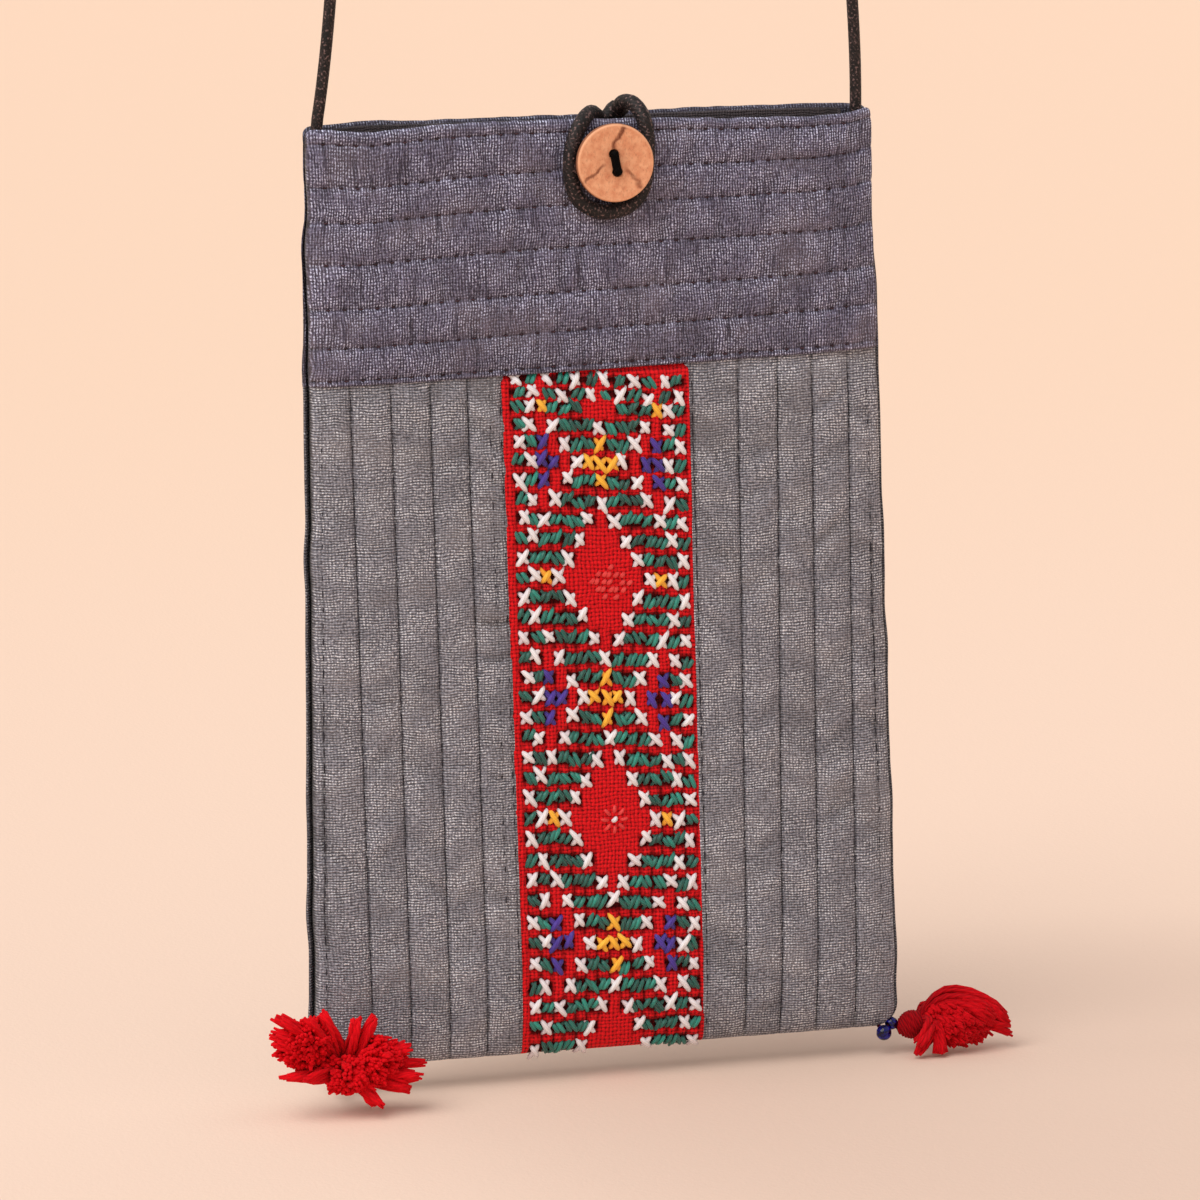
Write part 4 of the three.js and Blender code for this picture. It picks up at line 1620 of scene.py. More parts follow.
@dataclass
class Lining:
    """The dark inner bag: a flattened cup inside the padded walls, with a folded hem at the mouth."""

    shape: PouchShape
    material: Material
    inset: float = 5.5 * MM
    floor: float = 5 * MM
    cloth: float = 0.9 * MM
    gap: float = 0.25 * MM
    below_mouth: float = 1 * MM
    hem_rise: float = 0.35 * MM
    hem_steps: int = 7
    columns: int = 140
    rows: int = 60

    # Reach of the cloth coordinates round the bag and up it, in millimetres
    girth: float = 230.0
    height: float = 180.0

    def wall(self, share: Array, turn: Array, cloth: Array) -> Array:
        """Puts points on the inner bag.

        Round the bag, the distance across is the cosine of the turn. The depth follows the pouch's hollow,
        less the cloth, and closes at the sides as the root of 1 less the eighth power of that cosine.

        Args:
            share: share of the height, 0 at the floor.
            turn: angle round the bag.
            cloth: distance in from its outside.

        Returns:
            Places in the row frame.
        """
        level = self.floor + cloth + (self.shape.height - self.below_mouth - self.floor - cloth) * share
        side = np.cos(turn)
        across = (self.shape.half_width(level) - self.inset - cloth) * side
        depth = (self.shape.hollow(across, level) - self.gap - cloth) * np.sqrt(1 - side**8)
        below = self.shape.height - level
        front = np.sin(turn) > 0
        drop = np.where(
            front, self.shape.sag(Face.FRONT, across, below), self.shape.sag(Face.BACK, across, below)
        )
        return np.stack([across, np.where(front, -depth, depth), self.shape.base + level - drop], axis=-1)

    def skin(self) -> Surface:
        """Works out the closed bag: up its outside, over the hem and down its inside, with flat floors."""
        rise = np.linspace(0, 1, self.rows) ** 0.8
        over = np.linspace(0, np.pi, self.hem_steps)[1:-1]
        share = np.concatenate([rise, 1 + 0 * over, rise[::-1]])
        inwards = self.cloth * np.concatenate([0 * rise, (1 - np.cos(over)) / 2, 1 + 0 * rise])
        turn = -2 * np.pi * (np.arange(self.columns) + 0.5) / self.columns
        points = self.wall(share[:, None], turn[None], inwards[:, None])
        points[self.rows : self.rows + len(over), :, 2] += self.hem_rise * np.sin(over)[:, None]
        round_bag = np.arange(self.columns + 1) * (self.girth / self.columns)
        uv = np.stack(np.broadcast_arrays(round_bag, self.height * share[:, None]), axis=-1)
        return Surface.grid(points, uv, wrap=True).capped(len(share), self.columns)

    def build(self) -> None:
        """Makes the inner bag."""
        bag = self.skin().piece("lining_bag", self.material, ["lining"], "lining_cloth")


# Cords


@dataclass
class Strap:
    """The strap: up one side, round a half bend at the hang point and down the other."""

    material: Material
    drop: float = 500 * MM
    radius: float = 1.2 * MM
    bend: float = 14 * MM
    foot: float = 55 * MM
    tuck: float = 10 * MM
    sway: float = 1.6 * MM
    sway_height: float = 40 * MM
    steps: int = 170

    def line(self) -> Array:
        """Works out the strap's middle line.

        Each side is a straight line that touches the bend, upright where it is tucked into the pouch, and
        moved sideways by a hump that rises and fades just above the mouth.
        """
        rise = self.drop + self.radius - self.bend
        slant = math.hypot(self.foot, rise)
        lean = math.asin(self.foot / slant) - math.asin(self.bend / slant)
        middle = self.radius - self.bend
        top = np.array([self.bend * math.cos(lean), middle + self.bend * math.sin(lean)])
        z = np.linspace(-self.drop - self.tuck, top[1], self.steps)
        x = np.minimum(self.foot, top[0] + (top[1] - z) * math.tan(lean))
        above = np.clip(z + self.drop, 0, None) / self.sway_height
        sway = self.sway * above * np.exp(1 - above)
        angle = np.linspace(math.pi - lean, lean, 40)[1:-1]
        arc = np.stack([self.bend * np.cos(angle), 0 * angle, middle + self.bend * np.sin(angle)], axis=1)
        left = np.stack([-x + sway, 0 * z, z], axis=1)
        right = np.stack([x + sway, 0 * z, z], axis=1)
        return np.concatenate([left, arc, right[::-1]])

    def build(self) -> None:
        """Makes the strap."""
        cord = tube(self.line(), self.radius, FORWARD, 14)
        cord.piece("strap_cord", self.material, ["strap"], "satin_cord")


@dataclass
class ButtonFastening:
    """The button, the thread through its holes and the cord loop round it."""

    shape: PouchShape
    shell: Material
    cord: Material
    black: Material
    across: float = 2.6 * MM
    below: float = 8.3 * MM
    radius: float = BUTTON_RADIUS
    thickness: float = 2.4 * MM
    dish: float = 0.35 * MM
    edge: float = 0.45 * MM
    hole: float = 0.92 * MM
    hole_across: float = 0.3 * MM
    hole_up: float = 1.75 * MM
    hole_edge: float = 0.15 * MM
    sides: int = 96
    thread: float = 0.88 * MM
    standoff: float = 3.3 * MM
    cloth_crown: float = 2.3 * MM
    loop_radius: float = 1.55 * MM
    loop_tuck: float = 6 * MM

    # Route of the loop: across and up from the button's middle, and depth
    route: Table = (
        (-0.6, 7.4, 1), (-1.5, 8.7, -1.2), (-3.3, 9.3, -4), (-5.9, 7.3, -6.9), (-7.9, 3, -8.1),
        (-8.3, -2.5, -8.15), (-6.9, -7.2, -8.15), (-2.4, -9.9, -8.15), (2.8, -9.2, -8.15),
        (6.1, -6.0, -8.15), (7.2, -0.5, -8.15), (7.3, 4.4, -8.1), (6.9, 8.0, -7.4),
        (5.7, 10.7, -4.9), (4.2, 11.1, -2.2), (3.3, 9.4, 0.2), (3.0, 7.4, 1),
    )

    def level(self) -> float:
        """Gives the height of the button's middle above the base."""
        return self.shape.height - self.below

    def back(self) -> float:
        """Gives the depth of the button's back."""
        hollow = self.shape.hollow(np.array(self.across), np.array(self.level()))
        return float(-hollow - self.cloth_crown - self.standoff)

    def disc(self) -> Surface:
        """Works out the button: rings from the middle of the face, round the rim, to the middle of the back.

        The face is dished as the square of the radius, the rim is half an ellipse, and each hole sinks the
        points inside it.
        """
        flat = np.concatenate([np.linspace(0.03, 0.45, 26), np.linspace(0.48, 1, 16)])
        flat = flat * (self.radius - self.edge)
        turn = np.linspace(np.pi / 2, -np.pi / 2, 15)[1:-1]
        radius = np.concatenate([flat, self.radius - self.edge + self.edge * np.cos(turn), flat[::-1]])
        face = self.thickness / 2 - self.dish * (1 - (flat / flat[-1]) ** 2)
        depth = np.concatenate([face, self.thickness / 2 * np.sin(turn), -self.thickness / 2 + 0 * flat])
        angle = 2 * np.pi * np.arange(self.sides) / self.sides
        x, z = radius[:, None] * np.cos(angle), radius[:, None] * np.sin(angle)
        y = np.broadcast_to(depth[:, None], x.shape)
        for hand in (-1, 1):
            away = np.hypot(x + hand * self.hole_across, z - hand * self.hole_up)
            sunk = smooth_step(np.clip((self.hole + self.hole_edge - away) / (2 * self.hole_edge), 0, 1))
            y = y - np.sign(y) * sunk * 0.3 * self.thickness
        middle = self.back() - self.thickness / 2
        points = np.stack([x + self.across, middle - y, z + self.shape.base + self.level()], axis=-1)
        around = np.arange(self.sides + 1) / self.sides
        uv = np.stack(np.broadcast_arrays(radius[:, None] / MM, around), axis=-1)
        return Surface.grid(points, uv, wrap=True).capped(len(radius), self.sides)

    def stitch_line(self) -> Array:
        """Gives the thread's line: out through one hole, across the face and in through the other."""
        back, face = self.back(), self.back() - self.thickness
        depth = np.array([back + self.standoff - 0.3 * MM, back, face, face + 0.12 * self.thread])
        depth = np.concatenate([depth, depth[::-1]])
        hand = np.array([1.0, 1.0, 1.0, 0.72, -0.72, -1.0, -1.0, -1.0])
        level = self.shape.base + self.level() + hand * self.hole_up
        return smooth_curve(np.stack([self.across - hand * self.hole_across, depth, level], axis=1), 60)

    def loop_line(self) -> Array:
        """Gives the loop's line, whose ends are tucked behind the mouth's edge."""
        route = np.array(self.route) * MM
        ends = route[[0, -1]]
        ends[:, 1] = self.below - self.loop_tuck
        route = np.concatenate([ends[:1], route, ends[1:]])
        knots = np.stack(
            [route[:, 0] + self.across, route[:, 2], route[:, 1] + self.shape.base + self.level()], axis=1
        )
        return smooth_curve(knots, 190)

    def binding_line(self) -> Array:
        """Gives the line of the cord wound across both ends of the loop, humped under its higher arch."""
        across = np.linspace(-1.6, 4.6, 16)
        level = 7.5 + 2.3 * np.exp(-(((across - 3.1) / 1.4) ** 2))
        line = np.stack([across, 0 * across + 0.7, level], axis=1) * MM
        return line + np.array([self.across, 0.0, self.shape.base + self.level()])

    def build(self) -> None:
        """Makes the button, its thread, the loop and the loop's binding."""
        self.disc().piece("button_disc", self.shell, ["button"], "button_shell")
        stitch = tube(self.stitch_line(), self.thread, RIGHT, 12)
        stitch.piece("button_thread", self.black, ["button_stitch"], "satin_cord")
        binding = tube(self.binding_line(), self.loop_radius, UP, 12)
        binding.piece("loop_binding", self.cord, [], "satin_cord")
        line = self.loop_line()
        beside = np.sign(line[:, :1] - self.across) * RIGHT
        share = np.clip((-6 * MM - line[:, 1:2]) / (3 * MM), 0, 1)
        hint = beside * (1 - share) - FORWARD * np.maximum(share, 0.35)
        tube(line, self.loop_radius, hint, 14).piece("loop_cord", self.cord, ["button_loop"], "satin_cord")


# Tassels


@dataclass(frozen=True)
class Tuft:
    """A group of strand ends, from the tassel's head, in millimetres.

    The ends fill an ellipse about a point across and up. Its middle lies in front of the head, its rim
    further back by the dome, and the strands bow out on the way by a vector. A painted shade factor makes
    them darker, as painted shade.
    """

    across: float
    up: float
    wide: float
    high: float
    front: float
    strands: int
    dome: float = 0.0
    bow: Point = (0.0, -2.5, 0.0)
    tone: float = 1.0


@dataclass
class Tassel:
    """A tassel at a bottom corner: its thread, two beads, a wound head and a skirt of loose strands.

    Places are across, depth and height above the base, in millimetres.
    """

    side: str
    shape: PouchShape
    cotton: Material
    thread: Material
    glass: Material
    sewn: Point
    beads: Table
    head: Point
    axis: Point
    tufts: tuple[Tuft, ...]
    seed: int
    # Painted shade: a factor that darkens all of this tassel's strands
    tone: float = 1.0
    head_radius: float = 3.0 * MM
    head_length: float = 6.6 * MM
    turns: int = 14
    strand_radius: float = 0.4 * MM
    gathered: float = 0.35
    root: float = 1.4 * MM
    lump_mm: float = 2.2
    lump_depth: float = 0.6 * MM
    sway: float = 0.35 * MM
    curl: float = 0.2 * MM
    thread_radius: float = 0.42 * MM
    bead_sizes: tuple[float, float] = (1.6 * MM, 1.35 * MM)
    bead_hole: float = 0.6 * MM
    lowest: float = -5.0 * MM

    def at(self, place: Sequence[float]) -> Array:
        """Turns a place in pouch millimetres into the row frame."""
        return np.asarray(place) * MM + self.shape.base * UP

    def frame(self) -> tuple[Array, Array, Array]:
        """Gives the tassel's axis and the directions of its width and height."""
        along = unit(np.array(self.axis))
        wide = unit(np.cross(along, UP))
        return along, wide, np.cross(wide, along)

    def thread_line(self) -> Array:
        """Gives the line of the thread from the pouch's corner through the beads to the head."""
        along, _, _ = self.frame()
        neck = self.at(self.head) - along * (self.head_length / 2 - 0.4 * MM)
        return smooth_curve(np.stack([self.at(self.sewn), *map(self.at, self.beads), neck]), 40)

    def bead(self, place: Array, along: Array, radius: float) -> Surface:
        """Turns a bead round its hole: a round outside and a straight bore.

        Args:
            place: its middle.
            along: the direction of its hole.
            radius: its outer radius.

        Returns:
            The closed bead.
        """
        start = math.asin(self.bead_hole / radius)
        angle = np.linspace(np.pi - start, start, 16)
        bore = np.linspace(math.cos(start), -math.cos(start), 6)[1:-1] * radius
        out = np.concatenate([radius * np.sin(angle), self.bead_hole + 0 * bore])
        far = np.concatenate([radius * np.cos(angle), bore])
        side = unit(np.cross(along, ASKEW))
        turn = 2 * np.pi * np.arange(24)[:, None] / 24
        ring = np.cos(turn) * side + np.sin(turn) * np.cross(along, side)
        points = place + far[:, None, None] * along + out[:, None, None] * ring
        uv = np.zeros((len(out) + 1, 25, 2))
        return Surface.grid(points, uv, wrap=True, wrap_rows=True)

    def wound_head(self) -> Surface:
        """Winds thread round the head: a coil whose radius swells and falls as the root of a sine."""
        along, wide, high = self.frame()
        share = np.linspace(0.02, 0.98, 15 * self.turns)[:, None]
        turn = 2 * np.pi * self.turns * share
        radius = (self.head_radius - 0.3 * MM) * np.sin(np.pi * share) ** 0.6
        middle = self.at(self.head) + along * self.head_length * (share - 0.5)
        path = middle + radius * (np.cos(turn) * wide + np.sin(turn) * high)
        coil = tube(path, 0.34 * MM, path - middle + along * 1e-5, 8)
        core = tube(middle[::6], radius[::6, 0] + 0.15 * MM, wide, 16)
        # Painted shade: the coil is painted dark and the core between its turns darker still
        coil.shade = 0.13 + 0.05 * np.sin(np.arange(len(coil.shade)) / 37.0)
        core.shade = core.shade * 0.1
        return Surface.joined([coil, core])

    def skirt(self, tuft: Tuft, random: np.random.Generator) -> Surface:
        """Lays the strands of one tuft, each a wavy parabola of eight points from the head to its own end.

        The ends fill an ellipse like the seeds of a sunflower, and the middle ones stand further forward.
        Each end is drawn towards the nearest of a smaller set of seeds, so that the strands gather in locks.

        Args:
            tuft: where the ends lie.
            random: the source of unevenness.

        Returns:
            The strands.
        """
        along, wide, high = self.frame()
        x, z = self.seeds(tuft.strands)
        locks = max(tuft.strands // 13, 4)
        lock_x, lock_z = self.seeds(locks)
        lock = np.hypot(x[:, None] - lock_x, z[:, None] - lock_z).argmin(axis=1)
        reach = random.uniform(0.88, 1.12, locks)[lock]
        x = (x + self.gathered * (lock_x[lock] - x)) * reach
        z = (z + self.gathered * (lock_z[lock] - z)) * reach
        depth = tuft.dome * (x**2 + z**2) - tuft.front + random.normal(0, 0.7, locks)[lock]
        end = np.stack([tuft.across + tuft.wide * x, depth, tuft.up + tuft.high * z], axis=1)
        lumps = random_field(end[:, 0] / self.lump_mm, end[:, 2] / self.lump_mm, self.seed)
        end = self.at(self.head) + (end + random.normal(0, 0.28, end.shape)) * MM
        end[:, 1] -= self.lump_depth * lumps
        root = self.at(self.head) + self.root * (along + wide * x[:, None] + high * z[:, None])
        middle = (root + end) / 2 + np.array(tuft.bow) * MM
        share = np.linspace(0, 1, 8)[None, :, None]
        path = root[:, None] * (1 - share) ** 2 + middle[:, None] * 2 * share * (1 - share)
        path = path + end[:, None] * share**2
        path = path + random.normal(0, self.sway, (tuft.strands, 1, 3)) * np.sin(np.pi * share)
        phase = random.uniform(0, 2 * np.pi, (tuft.strands, 1, 1))
        path = path + random.normal(0, self.curl, (tuft.strands, 1, 3)) * share * np.sin(phase + 9 * share)
        path[..., 2] = np.maximum(path[..., 2], self.shape.base + self.lowest + self.strand_radius)
        size = self.strand_radius * random.uniform(0.8, 1.25, (tuft.strands, 1))
        swell = np.array([0.9, 0.9, 0.95, 1, 1.05, 1.2, 1.25, 0.7])
        strands = tube(path, size * swell, np.array([0.6, 0.1, 0.8]), THREAD_SIDES)
        # Painted shade: each strand darker towards the head, and darker where its lump lies further back
        deep = np.clip(0.2 + 0.95 * share[..., 0], 0, 1)
        light = random.uniform(0.84, 1.05, (tuft.strands, 1)) * (0.9 + 0.1 * lumps[:, None])
        strands.shade = np.repeat((light * deep * self.tone * tuft.tone).ravel(), THREAD_SIDES)
        return strands

    def seeds(self, count: int) -> tuple[Array, Array]:
        """Spreads points evenly over a unit circle: each a golden angle on, at the root of its share."""
        number = np.arange(count)
        out, turn = np.sqrt((number + 0.5) / count), number * GOLDEN_ANGLE
        return out * np.cos(turn), out * np.sin(turn)

    def build(self) -> None:
        """Makes the thread, the beads and the tassel."""
        line = self.thread_line()
        thread = tube(line, self.thread_radius, ASKEW, 8)
        thread.piece(f"tassel_thread_{self.side}", self.thread, [f"thread_{self.side}"], "red_cotton")
        for place, size, which in zip(self.beads, self.bead_sizes, ("upper", "lower"), strict=True):
            middle = self.at(place)
            nearest = int(np.argmin(np.linalg.norm(line - middle, axis=1)))
            bead = self.bead(middle, unit(np.gradient(line, axis=0)[nearest]), size)
            node = f"bead_{self.side}_{which}"
            bead.piece(f"glass_{node}", self.glass, [node], "blue_glass")
        random = np.random.default_rng(self.seed)
        body = Surface.joined([self.wound_head(), *(self.skirt(tuft, random) for tuft in self.tufts)])
        body.piece(f"tassel_strands_{self.side}", self.cotton, [f"tassel_{self.side}"], "red_cotton")


# Stage


@dataclass
class Studio:
    """A pale floor that rises far away on all sides, soft light and the camera at the photograph's angle."""

    floor_level: float
    target: Point
    floor_paint: Material
    floor_flat: float = 4.6
    floor_reach: float = 8.0
    floor_rise: float = 2.6
    floor_sides: int = 64
    sun_from: Point = (-0.55, -0.3, 0.8)
    sun_power: float = 2.1
    sun_width: float = 55.0
    sun_colour: Point = (1.0, 0.96, 0.92)
    sky: float = 0.62
    sky_colour: Colour = (1.0, 0.97, 0.95, 1.0)
    azimuth: float = -13.0
    elevation: float = 10.0
    roll: float = -1.146
    distance: float = 1.2
    lens: float = 178.8
    sensor: float = 36.0
    shift_right: float = 0.42 * MM
    shift_up: float = -2.51 * MM

    def floor(self) -> None:
        """Lays the floor as rings of points.

        It is flat, then rises with the square of the distance.
        """
        ring = np.concatenate([[0.02], np.linspace(0.5, self.floor_reach, 24)])[:, None]
        turn = 2 * np.pi * np.arange(self.floor_sides) / self.floor_sides
        climb = np.clip((ring - self.floor_flat) / (self.floor_reach - self.floor_flat), 0, 1) ** 2
        height = self.floor_level + self.floor_rise * climb + 0 * turn
        points = np.stack([ring * np.cos(turn), ring * np.sin(turn), height], axis=-1)[:, ::-1]
        rings = Surface.grid(points, np.zeros((len(ring), self.floor_sides + 1, 2)), wrap=True)
        faces = rings.faces.tolist() + [list(range(self.floor_sides))[::-1]]
        mesh = bpy.data.meshes.new("floor")
        mesh.from_pydata(rings.points.tolist(), [], faces)
        mesh.polygons.foreach_set("use_smooth", np.ones(len(faces), dtype=bool))
        mesh.materials.append(self.floor_paint)
        made = bpy.data.objects.new("floor", mesh)
        bpy.context.scene.collection.objects.link(made)

    def lights(self) -> None:
        """Sets a wide soft sun and an even light all round, so that all of the floor is lit alike."""
        sun = bpy.data.lights.new("key_light", "SUN")
        sun.energy, sun.angle, sun.color = self.sun_power, math.radians(self.sun_width), self.sun_colour
        made = bpy.data.objects.new("key_light", sun)
        made.rotation_euler = (-Vector(self.sun_from)).to_track_quat("-Z", "Y").to_euler()
        bpy.context.scene.collection.objects.link(made)
        world = bpy.data.worlds.new("studio")
        world.use_nodes = True
        background = world.node_tree.nodes["Background"]
        background.inputs["Color"].default_value = self.sky_colour
        background.inputs["Strength"].default_value = self.sky
        scene = bpy.context.scene
        scene.world = world
        scene.view_settings.view_transform = "Standard"

    def camera(self) -> None:
        """Sets up the camera from its angles about the bag's middle."""
        azimuth, elevation, roll = (math.radians(a) for a in (self.azimuth, self.elevation, self.roll))
        level = math.cos(elevation)
        back = Vector((math.sin(azimuth) * level, -math.cos(azimuth) * level, math.sin(elevation)))
        right = Vector((math.cos(azimuth), math.sin(azimuth), 0.0))
        up = back.cross(right)
        tilted_right = right * math.cos(roll) + up * math.sin(roll)
        tilted_up = up * math.cos(roll) - right * math.sin(roll)
        lens = bpy.data.cameras.new("camera")
        lens.lens, lens.sensor_width = self.lens, self.sensor
        lens.clip_start, lens.clip_end = 0.05, 60.0
        made = bpy.data.objects.new("camera", lens)
        aim = Vector(self.target) + tilted_right * self.shift_right + tilted_up * self.shift_up
        turn = Matrix((tilted_right, tilted_up, back)).transposed().to_4x4()
        made.matrix_world = Matrix.Translation(aim + back * self.distance) @ turn
        bpy.context.scene.collection.objects.link(made)
        bpy.context.scene.camera = made

    def build(self) -> None:
        """Makes the floor, the lights and the camera."""
        self.camera()
        self.floor()
        self.lights()


class Finishes:
    """All the bag's materials, made once."""

    def __init__(self, button_centre: Point) -> None:
        """Mixes the materials; the button's grain is laid out about its centre."""
        rgb = paint_colour
        self.slate = ShotSilk(
            "slate_silk", Grain.UPRIGHT, rgb(108, 105, 130), rgb(200, 206, 234), rgb(48, 43, 60),
            rgb(114, 104, 114), 0.8,
        ).material()
        self.grey = ShotSilk(
            "grey_silk", Grain.LEVEL, rgb(143, 145, 158), rgb(226, 231, 240), rgb(74, 75, 84),
            rgb(136, 132, 136), 0.25,
        ).material()
        self.maroon = Floss("maroon_thread", rgb(80, 50, 64), rgb(24, 6, 14), 0.25).material()
        self.navy = Floss("navy_thread", rgb(44, 40, 54), rgb(10, 8, 16), 0.25).material()
        self.cotton = CoarseCotton("red_cotton_cloth", rgb(236, 26, 34), rgb(72, 0, 4), 0.82).material()
        self.lining = CoarseCotton("lining_cotton", rgb(84, 78, 82), rgb(30, 27, 29), 0.5).material()
        self.cord = SatinCord("black_satin", rgb(12, 7, 8), rgb(122, 97, 95)).material()
        self.black = SatinCord("black_thread", rgb(3, 2, 2), rgb(14, 11, 10), 0.06).material()
        self.shell = ShellButton(
            "button_shell", rgb(214, 142, 104), rgb(236, 176, 136), rgb(116, 60, 36), button_centre,
            BUTTON_RADIUS,
        ).material()
        self.glass = BlueGlass("blue_glass", rgb(3, 3, 36), rgb(16, 20, 146)).material()
        self.tassel = Floss("tassel_cotton", rgb(236, 14, 28), rgb(78, 0, 6), 0.2, 3, 0.5, 0.1).material()
        self.thread = Floss("tassel_thread", rgb(58, 4, 10), rgb(20, 0, 4), 0.2, 3, 0.5, 0.1).material()
        self.fleck = Floss("red_floss", rgb(234, 66, 64), rgb(200, 26, 30), 0.5, 5, 0.6, 0.5).material()
        # The floor's third colour is the painted shadow's, beside the bag
        self.floor = StudioFloor(
            "floor_paint", rgb(236, 211, 194), rgb(237, 209, 187), rgb(222, 197, 181)
        ).material()
        self.yarns = {
            yarn: Floss(f"{yarn.name.lower()}_floss", rgb(*body), rgb(*dark), gloss, 6, 0.5, shine).material()
            for yarn, body, dark, gloss, shine in (
                (Yarn.WHITE, (246, 250, 255), (198, 176, 190), 0.45, 0.45),
                (Yarn.GREEN, (34, 164, 146), (0, 20, 22), 0.65, 0.6),
                (Yarn.YELLOW, (255, 204, 64), (236, 120, 10), 0.5, 0.45),
                (Yarn.PURPLE, (78, 54, 170), (20, 8, 66), 0.55, 0.5),
            )
        }


def walls(shape: PouchShape, finishes: Finishes) -> list[Yoke | Panel]:
    """Lists the padded walls of the pouch.

    Args:
        shape: the pouch's shape.
        finishes: its materials.

    Returns:
        The two yokes and the panels below them.
    """
    strip_left, strip_right = (-19.7, -18.3), (17.3, 18.7)
    left = (None, (-50.5, -49.3), (-42.5, -41.5), (-34.7, -33.5), (-27.2, -25.8), strip_left)
    right = (strip_right, (28.2, 28.1), (36.4, 35.6), (43.7, 43.3), (51.4, 51.7), None)
    ribs = 11
    back = tuple((57.5 - 115 * i / ribs, 61 - 122 * i / ribs) for i in range(1, ribs))
    yoke = (shape, "slate_cloth", finishes.slate, finishes.maroon)
    panel = (shape, "grey_cloth", finishes.grey, finishes.navy)
    return [
        Yoke("front_yoke", Face.FRONT, *yoke, 11, swell=0.45 * MM, pucker=0.44 * MM, thread_share=0.3),
        Yoke(
            "back_yoke", Face.BACK, *yoke, 12, swell=0.45 * MM, pucker=0.44 * MM, thread_share=0.3,
            columns=160,
        ),
        Panel(
            "front_left_panel", Face.FRONT, *panel, 13, lines=left,
            topstitch=((0, 1.9), (5, -1.0), (5, -3.2)),
            creases=(
                (-22.6, 90.2, 3.8, 1.0), (-22.4, 83.1, 3.4, 0.9), (-45.5, 75.2, 3.4, 0.5),
                (-23.0, 114.3, 2.6, 0.4), (-30.2, 62.0, 3.0, 0.4), (-22.2, 58.5, 2.8, 0.5),
            ),
        ),
        Panel(
            "front_right_panel", Face.FRONT, *panel, 17, lines=right, topstitch=((0, 1.2), (5, -3.0)),
            creases=(
                (22.8, 101.0, 3.2, 0.5), (39.9, 96.5, 3.0, 0.4), (23.0, 66.0, 3.0, 0.45),
                (32.0, 41.0, 3.2, 0.35),
            ),
        ),
        Panel("back_panel", Face.BACK, *panel, 19, lines=(None, *back, None), steps=11, rows=130),
    ]


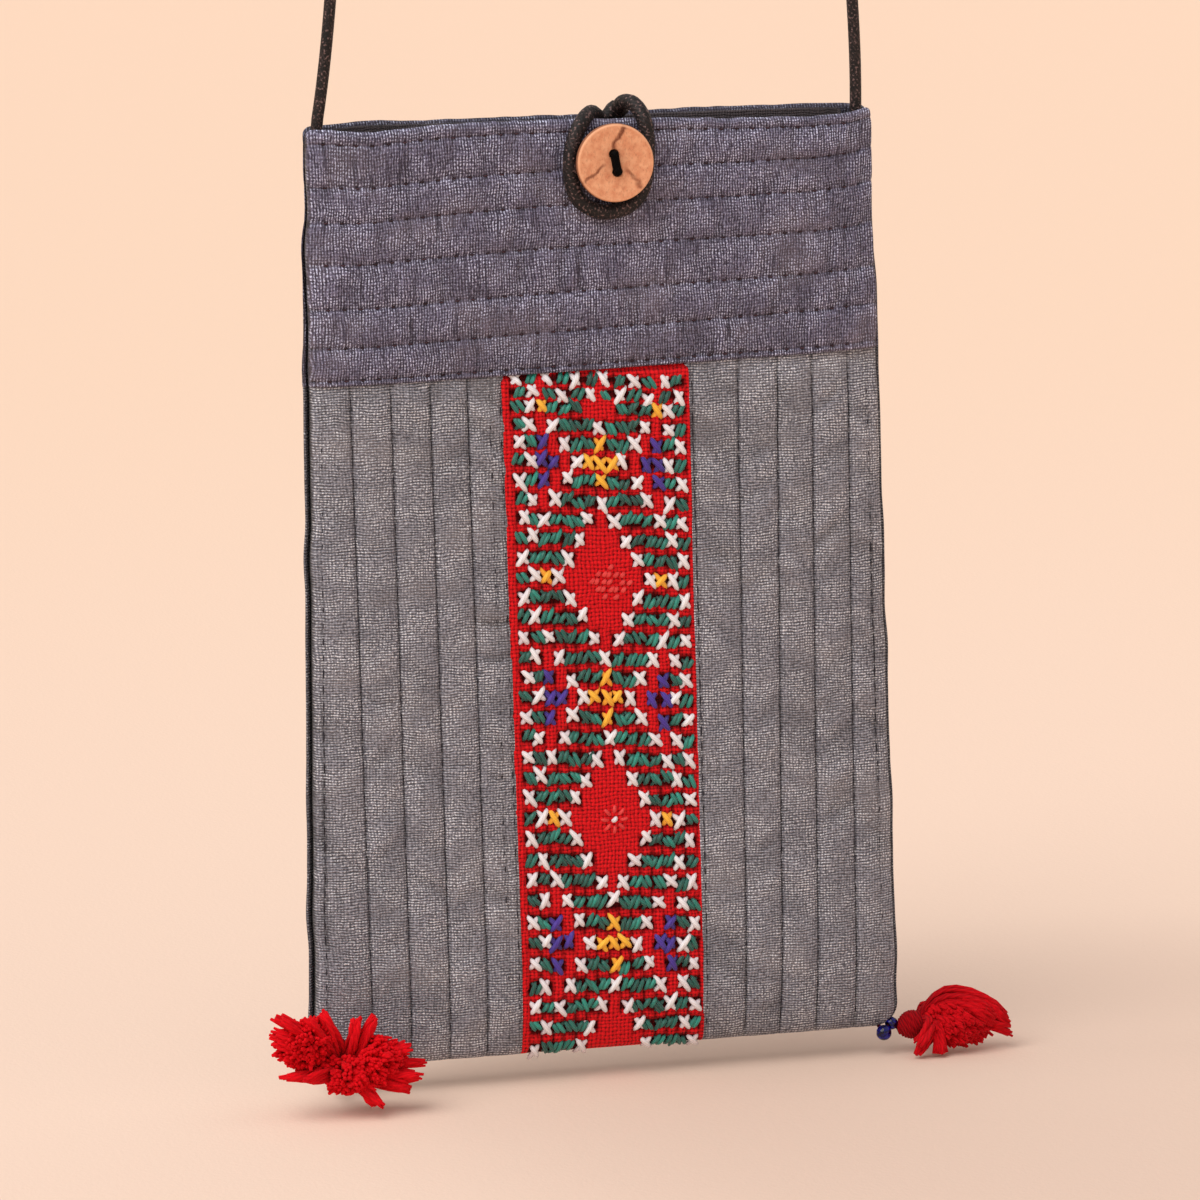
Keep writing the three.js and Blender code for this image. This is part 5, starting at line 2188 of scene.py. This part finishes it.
def tassels(shape: PouchShape, finishes: Finishes) -> list[Tassel]:
    """Lists the two tassels: the left one faces the front, the right one is bent over beside the corner.

    Args:
        shape: the pouch's shape.
        finishes: its materials.

    Returns:
        The left and the right one.
    """
    left = (
        Tuft(-8.7, 6.9, 6.0, 5.7, 9.0, 400, 4.5, (-3.0, 3.5, 2.2)),
        Tuft(0.8, 0.3, 6.8, 4.0, 10.5, 320, 4.5, (0.0, 0.5, -0.5)),
        Tuft(7.2, 2.4, 5.7, 4.8, 9.0, 330, 4.5, (2.5, 3.5, 0.6)),
        # A small tuft painted very dark between the lobes: painted shade in the hollow
        Tuft(1.1, 4.8, 2.8, 2.6, 2.5, 60, 0.0, (0.0, -1.0, 0.0), 0.12),
        Tuft(-13.4, 13.0, 1.2, 1.0, 7.0, 18, 0.0, (0.0, -3.0, 1.5)),
        Tuft(-14.6, 9.3, 0.9, 1.8, 7.0, 20, 0.0, (0.0, -3.0, 1.0)),
        Tuft(-7.4, 12.2, 0.8, 0.6, 6.0, 9, 0.0, (0.0, -2.0, 0.5)),
        Tuft(-4.2, 12.9, 0.8, 0.8, 5.0, 11, 0.0, (1.0, -2.0, 0.5)),
        Tuft(2.4, 11.1, 1.2, 0.7, 5.0, 18, 0.0, (0.6, -2.0, 0.5)),
        Tuft(6.2, 11.3, 0.8, 0.6, 5.0, 12, 0.0, (0.3, -2.0, 0.3)),
        Tuft(12.8, 4.6, 1.3, 1.0, 5.0, 16, 0.0, (0.0, -2.0, 1.0)),
        Tuft(15.8, 1.2, 0.8, 0.6, 5.0, 11, 0.0, (0.0, -2.0, 1.0)),
        Tuft(14.8, -0.8, 0.9, 0.6, 6.0, 11),
        Tuft(12.3, -3.2, 1.0, 0.8, 7.0, 14),
        Tuft(5.6, -5.6, 1.7, 0.7, 9.0, 28),
        Tuft(-12.6, 0.9, 1.3, 0.6, 7.0, 14),
        Tuft(-8.0, 0.3, 1.8, 0.6, 8.0, 20),
    )
    right = (
        Tuft(9.6, -0.3, 7.8, 4.5, 6.4, 560, 4.0, (1.0, 5.0, 2.5)),
        Tuft(17.5, 0.6, 1.2, 1.8, 2.5, 90, 0.0, (-2.5, 1.5, 9.6)),
        Tuft(19.0, -0.2, 0.8, 1.6, 3.0, 110, 0.0, (1.5, 1.5, 9.4)),
        Tuft(15.5, 0.0, 2.0, 2.0, 4.0, 90, 0.0, (0.0, 1.0, 7.4)),
        Tuft(-0.5, -4.9, 0.9, 0.5, 5.5, 18, 0.0, (5.0, -1.0, 3.0)),
        Tuft(-0.6, -2.2, 0.8, 0.6, 6.0, 14, 0.0, (5.0, -1.0, 4.0)),
        Tuft(4.0, -4.9, 1.6, 0.5, 6.0, 24, 0.0, (3.0, -1.0, 4.0)),
        Tuft(19.6, -2.2, 0.6, 1.0, 3.5, 18, 0.0, (-1.0, 0.0, 4.0)),
    )
    made_of = (shape, finishes.tassel, finishes.thread, finishes.glass)
    return [
        Tassel(
            "left", *made_of, sewn=(-56.4, -1.2, -0.75),
            beads=((-57, -4.6, -0.8), (-57.4, -8.1, 0.5)), head=(-57.7, -13, 2.9), axis=(0, -0.92, 0.38),
            tufts=left, seed=3,
        ),
        Tassel(
            # The right tassel's strands are darkened by painted shade
            "right", *made_of, sewn=(57.0, -1.4, 0.6),
            beads=((57.7, -3.4, -0.8), (59.7, -2.1, 0.75)), head=(64.0, -2.6, 0.3), axis=(0.93, -0.22, 0.3),
            tufts=right, seed=4, tone=0.7,
        ),
    ]


def main() -> None:
    """Loads the frame and builds the bag and its stage in order."""
    logging.basicConfig(level=logging.INFO, format="%(name)s: %(message)s")
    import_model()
    shape = PouchShape(base=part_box("back_panel")[0].z)
    lowest = min(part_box("tassel_left")[0].z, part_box("tassel_right")[0].z)
    low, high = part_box("button")
    finishes = Finishes(tuple((low + high) / 2))
    middle = (0.0, 0.0, shape.base + shape.height / 2)
    Studio(lowest - 0.5 * MM, middle, finishes.floor).build()
    Strap(finishes.cord).build()
    for wall in walls(shape, finishes):
        wall.build()
    CrossStitchStrip(shape, finishes.cotton, finishes.yarns, finishes.fleck).build()
    Lining(shape, finishes.lining).build()
    ButtonFastening(shape, finishes.shell, finishes.cord, finishes.black).build()
    for tassel in tassels(shape, finishes):
        tassel.build()


if __name__ == "__main__":
    main()
